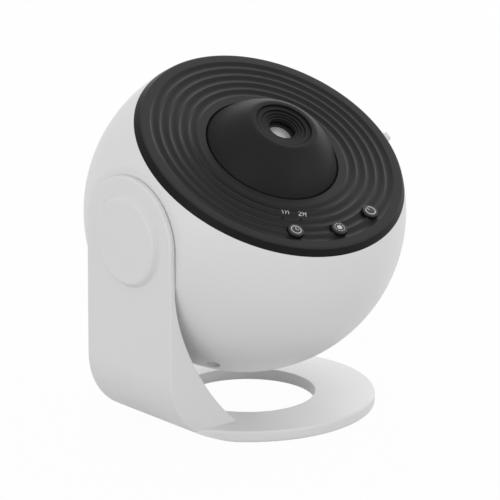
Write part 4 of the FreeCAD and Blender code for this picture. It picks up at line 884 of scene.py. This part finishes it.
def arm_mesh():
    """Closed skin of the arm. A half loop of points runs from the outer face's middle over both edges to the
    inner face's middle; it is repeated down the arm on both sides and turned about the hinge for the top."""
    outer, inner = arm_stations()
    inward = inner - outer
    thick = np.linalg.norm(inward, axis=1)
    inward /= thick[:, None]
    out_away, out_sink = edge_steps(stand_edge)
    in_away, in_sink = edge_steps(soft_edge)
    half = len(out_away)
    radius = arm_half - np.concatenate([out_away[::-1], in_away])
    depth = np.concatenate([np.zeros(half), np.ones(half)]) * thick[:, None]
    depth += np.concatenate([out_sink[::-1], -in_sink])
    skin = outer[:, None, :] + depth[..., None] * inward[:, None, :]
    points, quads, count = [], [], 0
    for side in (-1.0, 1.0):
        y = np.broadcast_to(side * radius, depth.shape)
        points.append(np.stack([skin[..., 0], y, skin[..., 1]], axis=-1).reshape(-1, 3))
        quads.append(grid_faces(len(outer), 2 * half, False, False) + count)
        j = np.arange(half - 1) + count + (len(outer) - 1) * 2 * half
        k = count + len(outer) * 2 * half - 1 - np.arange(half - 1)
        quads.append(np.column_stack([j, j + 1, k - 1, k]))
        count += depth.size
    turn = np.linspace(0, math.pi, 129)[:, None]
    x = np.broadcast_to(depth[0] - arm_outer, (len(turn), 2 * half))
    points.append(np.stack([x, radius * np.cos(turn), radius * np.sin(turn)], axis=-1).reshape(-1, 3))
    quads.append(grid_faces(len(turn), 2 * half, False, False) + count)
    return tidy_up(mesh_from(np.vstack(points), np.vstack(quads)))


def ring_slab():
    """Round slab led into the arm's sides by two hollow curves. Its outline, moved in by e at the height z,
    carries the edge's quarter circles e = r (1 - cos a), z = r (1 - sin a)."""
    flare_y = arm_half - flare_lap + flare_radius
    flare_x = math.sqrt((ring_radius + flare_radius) ** 2 - flare_y ** 2)
    meet = math.degrees(math.atan2(flare_y, flare_x))
    inside = -arc(1.0, -90, -meet, 24)
    flare = np.array([ring_middle - flare_x, flare_y]) - flare_radius * inside
    around = arc(1.0, 180 - meet, meet - 180, 260)[1:-1]
    mirror = np.array([1.0, -1.0])
    outline = np.vstack([flare, ring_radius * around + [ring_middle, 0.0], (flare * mirror)[::-1]])
    normal = np.vstack([inside, around, (inside * mirror)[::-1]])
    away, sink = (stand_edge - arc(stand_edge, 90, 0, 9)).T
    inset = np.concatenate([away, away[::-1], [stand_edge + edge_guard]])
    hub = np.tile([ring_middle, 0.0], (len(outline), 1))
    rings = [hub] + [outline - e * normal for e in inset] + [hub]
    levels = np.concatenate([[base_low], base_low + sink, (ring_top - sink)[::-1], [ring_top, ring_top]])
    points = np.vstack([np.column_stack([ring, np.full(len(ring), z)]) for ring, z in zip(rings, levels)])
    return tidy_up(mesh_from(points, grid_faces(len(rings), len(outline), False, True)))


def bend_limit():
    """Block above the bend and the underside: from z = lower(x) up, lower being the bend's circle."""
    bend = bend_middle - arc(bend_radius - hidden_lap, 0, 90, 49)
    x = np.append(bend[:, 0], limit_half)
    low = np.append(bend[:, 1], base_low - mm)
    low[-2] = base_low - mm
    high = np.full(len(x), limit_top)
    corners = [(-limit_half, low), (limit_half, low), (limit_half, high), (-limit_half, high)]
    points = np.stack([np.column_stack([x, np.full(len(x), y), z]) for y, z in corners], axis=1)
    last = 4 * (len(x) - 1)
    ends = np.array([[0, 1, 2, 3], [last + 3, last + 2, last + 1, last]])
    return tidy_up(mesh_from(points.reshape(-1, 3), np.vstack([grid_faces(len(x), 4, False, True), ends])))


stand_body = arm_mesh()
dish = turned(arc(dish_radius, 90.0, -90.0, 160), 256)
cut(stand_body, keep_right(dish, -arm_inner))
unite(stand_body, keep_inside(ring_slab(), bend_limit()), rod(hub_radius, *hub_span, 64, axis="x"))
hole_profile = np.vstack([
    [(0, base_low - mm), (ring_hole, base_low - mm)],
    arc(soft_edge, 180, 90, 7) + [ring_hole + soft_edge, ring_top - soft_edge],
    [(ring_hole + soft_edge, ring_top + hole_reach), (0, ring_top + hole_reach)]])
plate_low, plate_high = base_low - mm, ring_top - ring_roof
plate_inner, plate_outer = ring_hole + ring_wall, ring_radius - ring_wall
plate_space = turned([(plate_inner, plate_low), (plate_outer, plate_low), (plate_outer, plate_high),
                      (plate_inner, plate_high)], 192, middle=(ring_middle, 0.0))
keep_right(plate_space, bend_middle[0] + ring_wall)
cut(stand_body, together([turned(hole_profile, 256, middle=(ring_middle, 0.0)), plate_space,
                          turned(screw_profile, 64, axis="x")]))
settle(stand_body, "stand_body", "stand", white_plastic, standing, "stand_frame")

# ---- Arm cap ----
# A shallow round cap of the same plastic, bevelled to a flat face, hides the hinge screw. Its plug is
# pressed into the screw's hole.
cap_foot = 20.7 * mm
cap_rim = 18.8 * mm
cap_height = 2.4 * mm
cap_edge = 1 * mm
plug_radius = 4 * mm
plug_end = -64.4 * mm
cap_face = -arm_outer - cap_height
slope = unit(np.array([cap_foot - cap_rim, cap_height]))
cap_profile = np.vstack([
    [(0, plug_end), (plug_radius, plug_end), (plug_radius, -arm_outer), (cap_foot, -arm_outer)],
    corner((cap_rim, cap_face) + cap_edge * slope, (cap_rim, cap_face), (cap_rim - cap_edge, cap_face), 10),
    [(cap_rim - cap_edge - edge_guard, cap_face), (0, cap_face)]])
settle(turned(cap_profile, 192, axis="x"), "cap_disc", "stand", white_plastic, standing,
       "arm_cap")

# ---- Slide nub ----
# A white nub slides the picture's rotation on and off. It stands out of a slot in the shell's edge, on a
# plate that closes the slot from inside and a lever that reaches into the switch.
nub_spans = np.array([[57.2, 66.1], [-5.9, -1.9], [30.0, 32.6]]) * mm
guard_spans = np.array([[56.94, 57.93], [-9.9, 2.1], [28.8, 32.6]]) * mm
lever_spans = np.array([[53.75, 57.4], [-4.9, -2.9], [30.3, 32.3]]) * mm
nub_round = 0.9 * mm


def rounded_block(spans, radius, steps=7):
    """Block with round edges: points of a sphere's eight octants, radius (cos b cos a, cos b sin a, sin b),
    each octant moved out to its own corner of the block."""
    quarter = np.linspace(0, math.pi / 2, steps)
    a = np.concatenate([quarter + k * math.pi / 2 for k in range(4)])
    b = np.concatenate([quarter - math.pi / 2, quarter])[:, None]
    middle = spans.mean(axis=1)
    reach = (spans[:, 1] - spans[:, 0]) / 2 - radius
    octant = [np.repeat([1, -1, -1, 1], steps), np.repeat([1, 1, -1, -1], steps),
              np.repeat([-1, 1], steps)[:, None]]
    sphere = [np.cos(b) * np.cos(a), np.cos(b) * np.sin(a), np.sin(b)]
    octant, sphere = (np.stack(np.broadcast_arrays(*parts, sphere[0])[:3], axis=-1)
                      for parts in (octant, sphere))
    points = (middle + reach * octant + radius * sphere).reshape(-1, 3)
    poles = np.arange(4) * steps
    return tidy_up(mesh_from(points, np.vstack([
        grid_faces(len(b), len(a), False, True), poles, poles[::-1] + (len(b) - 1) * len(a)])))


nub = unite(rounded_block(nub_spans, nub_round), slab(guard_spans), slab(lever_spans))
settle(nub, "slide_nub", "rotation_switch", white_plastic, replaces="switch_slider")

# ---- Screws that show ----
# Four zinc-plated screws with cross recesses hold the base plate, and four more hold the ball's halves
# together, deep in their wells.
screw_head = 2.5 * mm
screw_shank = 1.3 * mm
screw_point = 0.5 * mm
recess_half = np.array([0.62, 0.13]) * screw_head
cover_circle = 42.6 * mm
cover_turns = np.radians([20.0, 70.0, -20.0, -70.0])
cover_places = cover_circle * np.column_stack([np.cos(cover_turns), np.sin(cover_turns)]) + [ring_middle, 0.0]


def plated(name, colour, shade, roughness, grain=(900.0, 900.0, 900.0)):
    """Bare or plated metal: fine scratches as bump and as a change of gloss, a dull cloud over the colour."""
    finish = Finish(name)
    place = finish.place()
    stretched = finish.node("ShaderNodeMapping", sockets={"Vector": place, "Scale": grain})
    scratch = finish.noise(stretched, scale=1.0, detail=4.0, roughness=0.65)
    cloud = finish.noise(place, scale=120.0, detail=3.0)
    return finish.surface({
        "Base Color": finish.blend(cloud, colour, shade), "Metallic": 1.0,
        "Roughness": finish.spread(scratch * 0.6 + cloud * 0.4, 0.3, 0.7, roughness - 0.08, roughness + 0.1),
        "Normal": finish.bump(scratch, 0.5, 0.01 * mm)})


def cross_screw(place, seat, head_height, end):
    """Screw along Z: shank from the seat to its end, a head with a rounded crown and a cross recess below."""
    crown = seat - head_height
    profile = np.vstack([
        [(0, end), (0.7 * screw_shank, end), (screw_shank, end - screw_point), (screw_shank, seat),
         (screw_head, seat)],
        corner((screw_head, crown + 0.55 * head_height), (screw_head, crown), (0.45 * screw_head, crown), 8),
        [(0, crown)]])
    long, short = recess_half
    recess = [slab([(-x, x), (-y, y), (crown - mm, crown + 0.5 * head_height)])
              for x, y in ((long, short), (short, long))]
    screw = cut(turned(profile, 40), *recess)
    screw.data.transform(Matrix.Translation((*place, 0)))
    return screw


zinc = plated("zinc_plate", (0.62, 0.63, 0.65), (0.48, 0.49, 0.52), roughness=0.34)
cover_screws = together([cross_screw(place, seat=-86.7 * mm, head_height=0.7 * mm, end=-83.6 * mm)
                         for place in cover_places])
settle(cover_screws, "cover_screws", "stand", zinc, standing, "base_screws")
shell_screws = together([cross_screw(place, well_floor, head_height=1.8 * mm, end=well_floor + 8.4 * mm)
                         for place in well_places])
settle(shell_screws, "shell_screws", "head", zinc, replaces="closing_screws")


# ---- Finishes of the rest ----
# What stays as built gets its own finish: the base plate and feet, and everything inside the ball. These
# are moulded plastics, rubber, bare and plated metals, circuit boards, the star film and glass.
def dress(finish, nodes):
    """Gives solids that stay as built one finish."""
    for node in nodes.split():
        slots = frame["nodes"][node].data.materials
        slots.clear()
        slots.append(finish)


def circuit_board(name, mask, trace):
    """Solder mask over copper tracks: the tracks are the edges of cells, paler and a little raised."""
    finish = Finish(name)
    place = finish.place()
    edge = finish.cells(place, scale=260.0, feature="DISTANCE_TO_EDGE", scatter=0.8)
    track = finish.spread(edge, 0.05, 0.09, 1.0, 0.0)
    weave = finish.noise(place, scale=1500.0, detail=2.0)
    return finish.surface({
        "Base Color": finish.blend(track, mask, trace),
        "Roughness": finish.spread(weave, 0.3, 0.7, 0.26, 0.4),
        "Normal": finish.bump(track + weave * 0.3, 0.5, 0.03 * mm)})


def star_film():
    """Black film with clear specks for stars, at the middles of scattered cells."""
    finish = Finish("star_film")
    place = finish.place()
    haze = finish.noise(place, scale=300.0, detail=4.0)
    star = finish.spread(finish.cells(place, scale=900.0), 0.08, 0.16, 1.0, 0.0)
    return finish.surface({
        "Base Color": finish.blend(star, (0.012, 0.012, 0.016), (0.75, 0.78, 0.85)),
        "Roughness": finish.spread(haze, 0.3, 0.7, 0.12, 0.24), "Coat Weight": 0.5,
        "Normal": finish.bump(haze, 0.3, 0.01 * mm)})


dress(moulded("cover_plastic", (0.66, 0.66, 0.66), (0.62, 0.62, 0.625), roughness=0.5, grain=0.45 * mm,
              depth=0.03 * mm, gloss=0.35), "base_cover")
dress(moulded("foot_rubber", (0.24, 0.24, 0.245), (0.19, 0.19, 0.195), roughness=0.8, grain=0.25 * mm,
              depth=0.04 * mm, gloss=0.2), "rubber_feet")
dress(moulded("acetal", (0.70, 0.70, 0.68), (0.66, 0.66, 0.64), roughness=0.38, grain=0.4 * mm,
              depth=0.01 * mm), "pivot_flange glide_washer film_carrier motor_pinion")
dress(inner_plastic, "focus_sleeve light_chassis carrier_keepers lens_spacer lens_retainer film_clip")
dress(moulded("part_black", (0.032, 0.032, 0.034), (0.022, 0.022, 0.024), roughness=0.42, grain=0.2 * mm),
      "tact_switches slide_switch board_parts timer_plunger light_plunger power_plunger")
dress(moulded("smoked_rod", (0.004, 0.004, 0.0045), (0.003, 0.003, 0.0035), roughness=0.3, grain=0.2 * mm,
              depth=0.01 * mm, gloss=0.08), "light_pipes")
dress(moulded("phosphor", (0.72, 0.60, 0.16), (0.66, 0.52, 0.12), roughness=0.5, grain=0.15 * mm),
      "led_emitter timer_leds")
dress(zinc, "pivot_screw spring_washer chassis_screws sleeve_screws control_screws condenser_ring")
dress(zinc, "heat_sink_screws motor_screws board_screws cam_pins motor_shaft")
dress(plated("motor_can", (0.55, 0.55, 0.56), (0.44, 0.44, 0.46), 0.3, (200.0, 200.0, 2400.0)), "film_motor")
dress(plated("drawn_steel", (0.58, 0.58, 0.59), (0.50, 0.50, 0.51), 0.28, (300.0, 1800.0, 300.0)),
      "power_socket")
dress(plated("extruded_aluminium", (0.72, 0.73, 0.74), (0.64, 0.65, 0.67), 0.42, (1800.0, 1800.0, 120.0)),
      "heat_sink")
dress(circuit_board("board_green", (0.010, 0.075, 0.030), (0.025, 0.150, 0.060)), "control_board main_board")
dress(circuit_board("board_white", (0.66, 0.66, 0.64), (0.74, 0.74, 0.72)), "led_board")
dress(star_film(), "film_disc")
dress(lens_glass, "condenser_lens rear_lens")
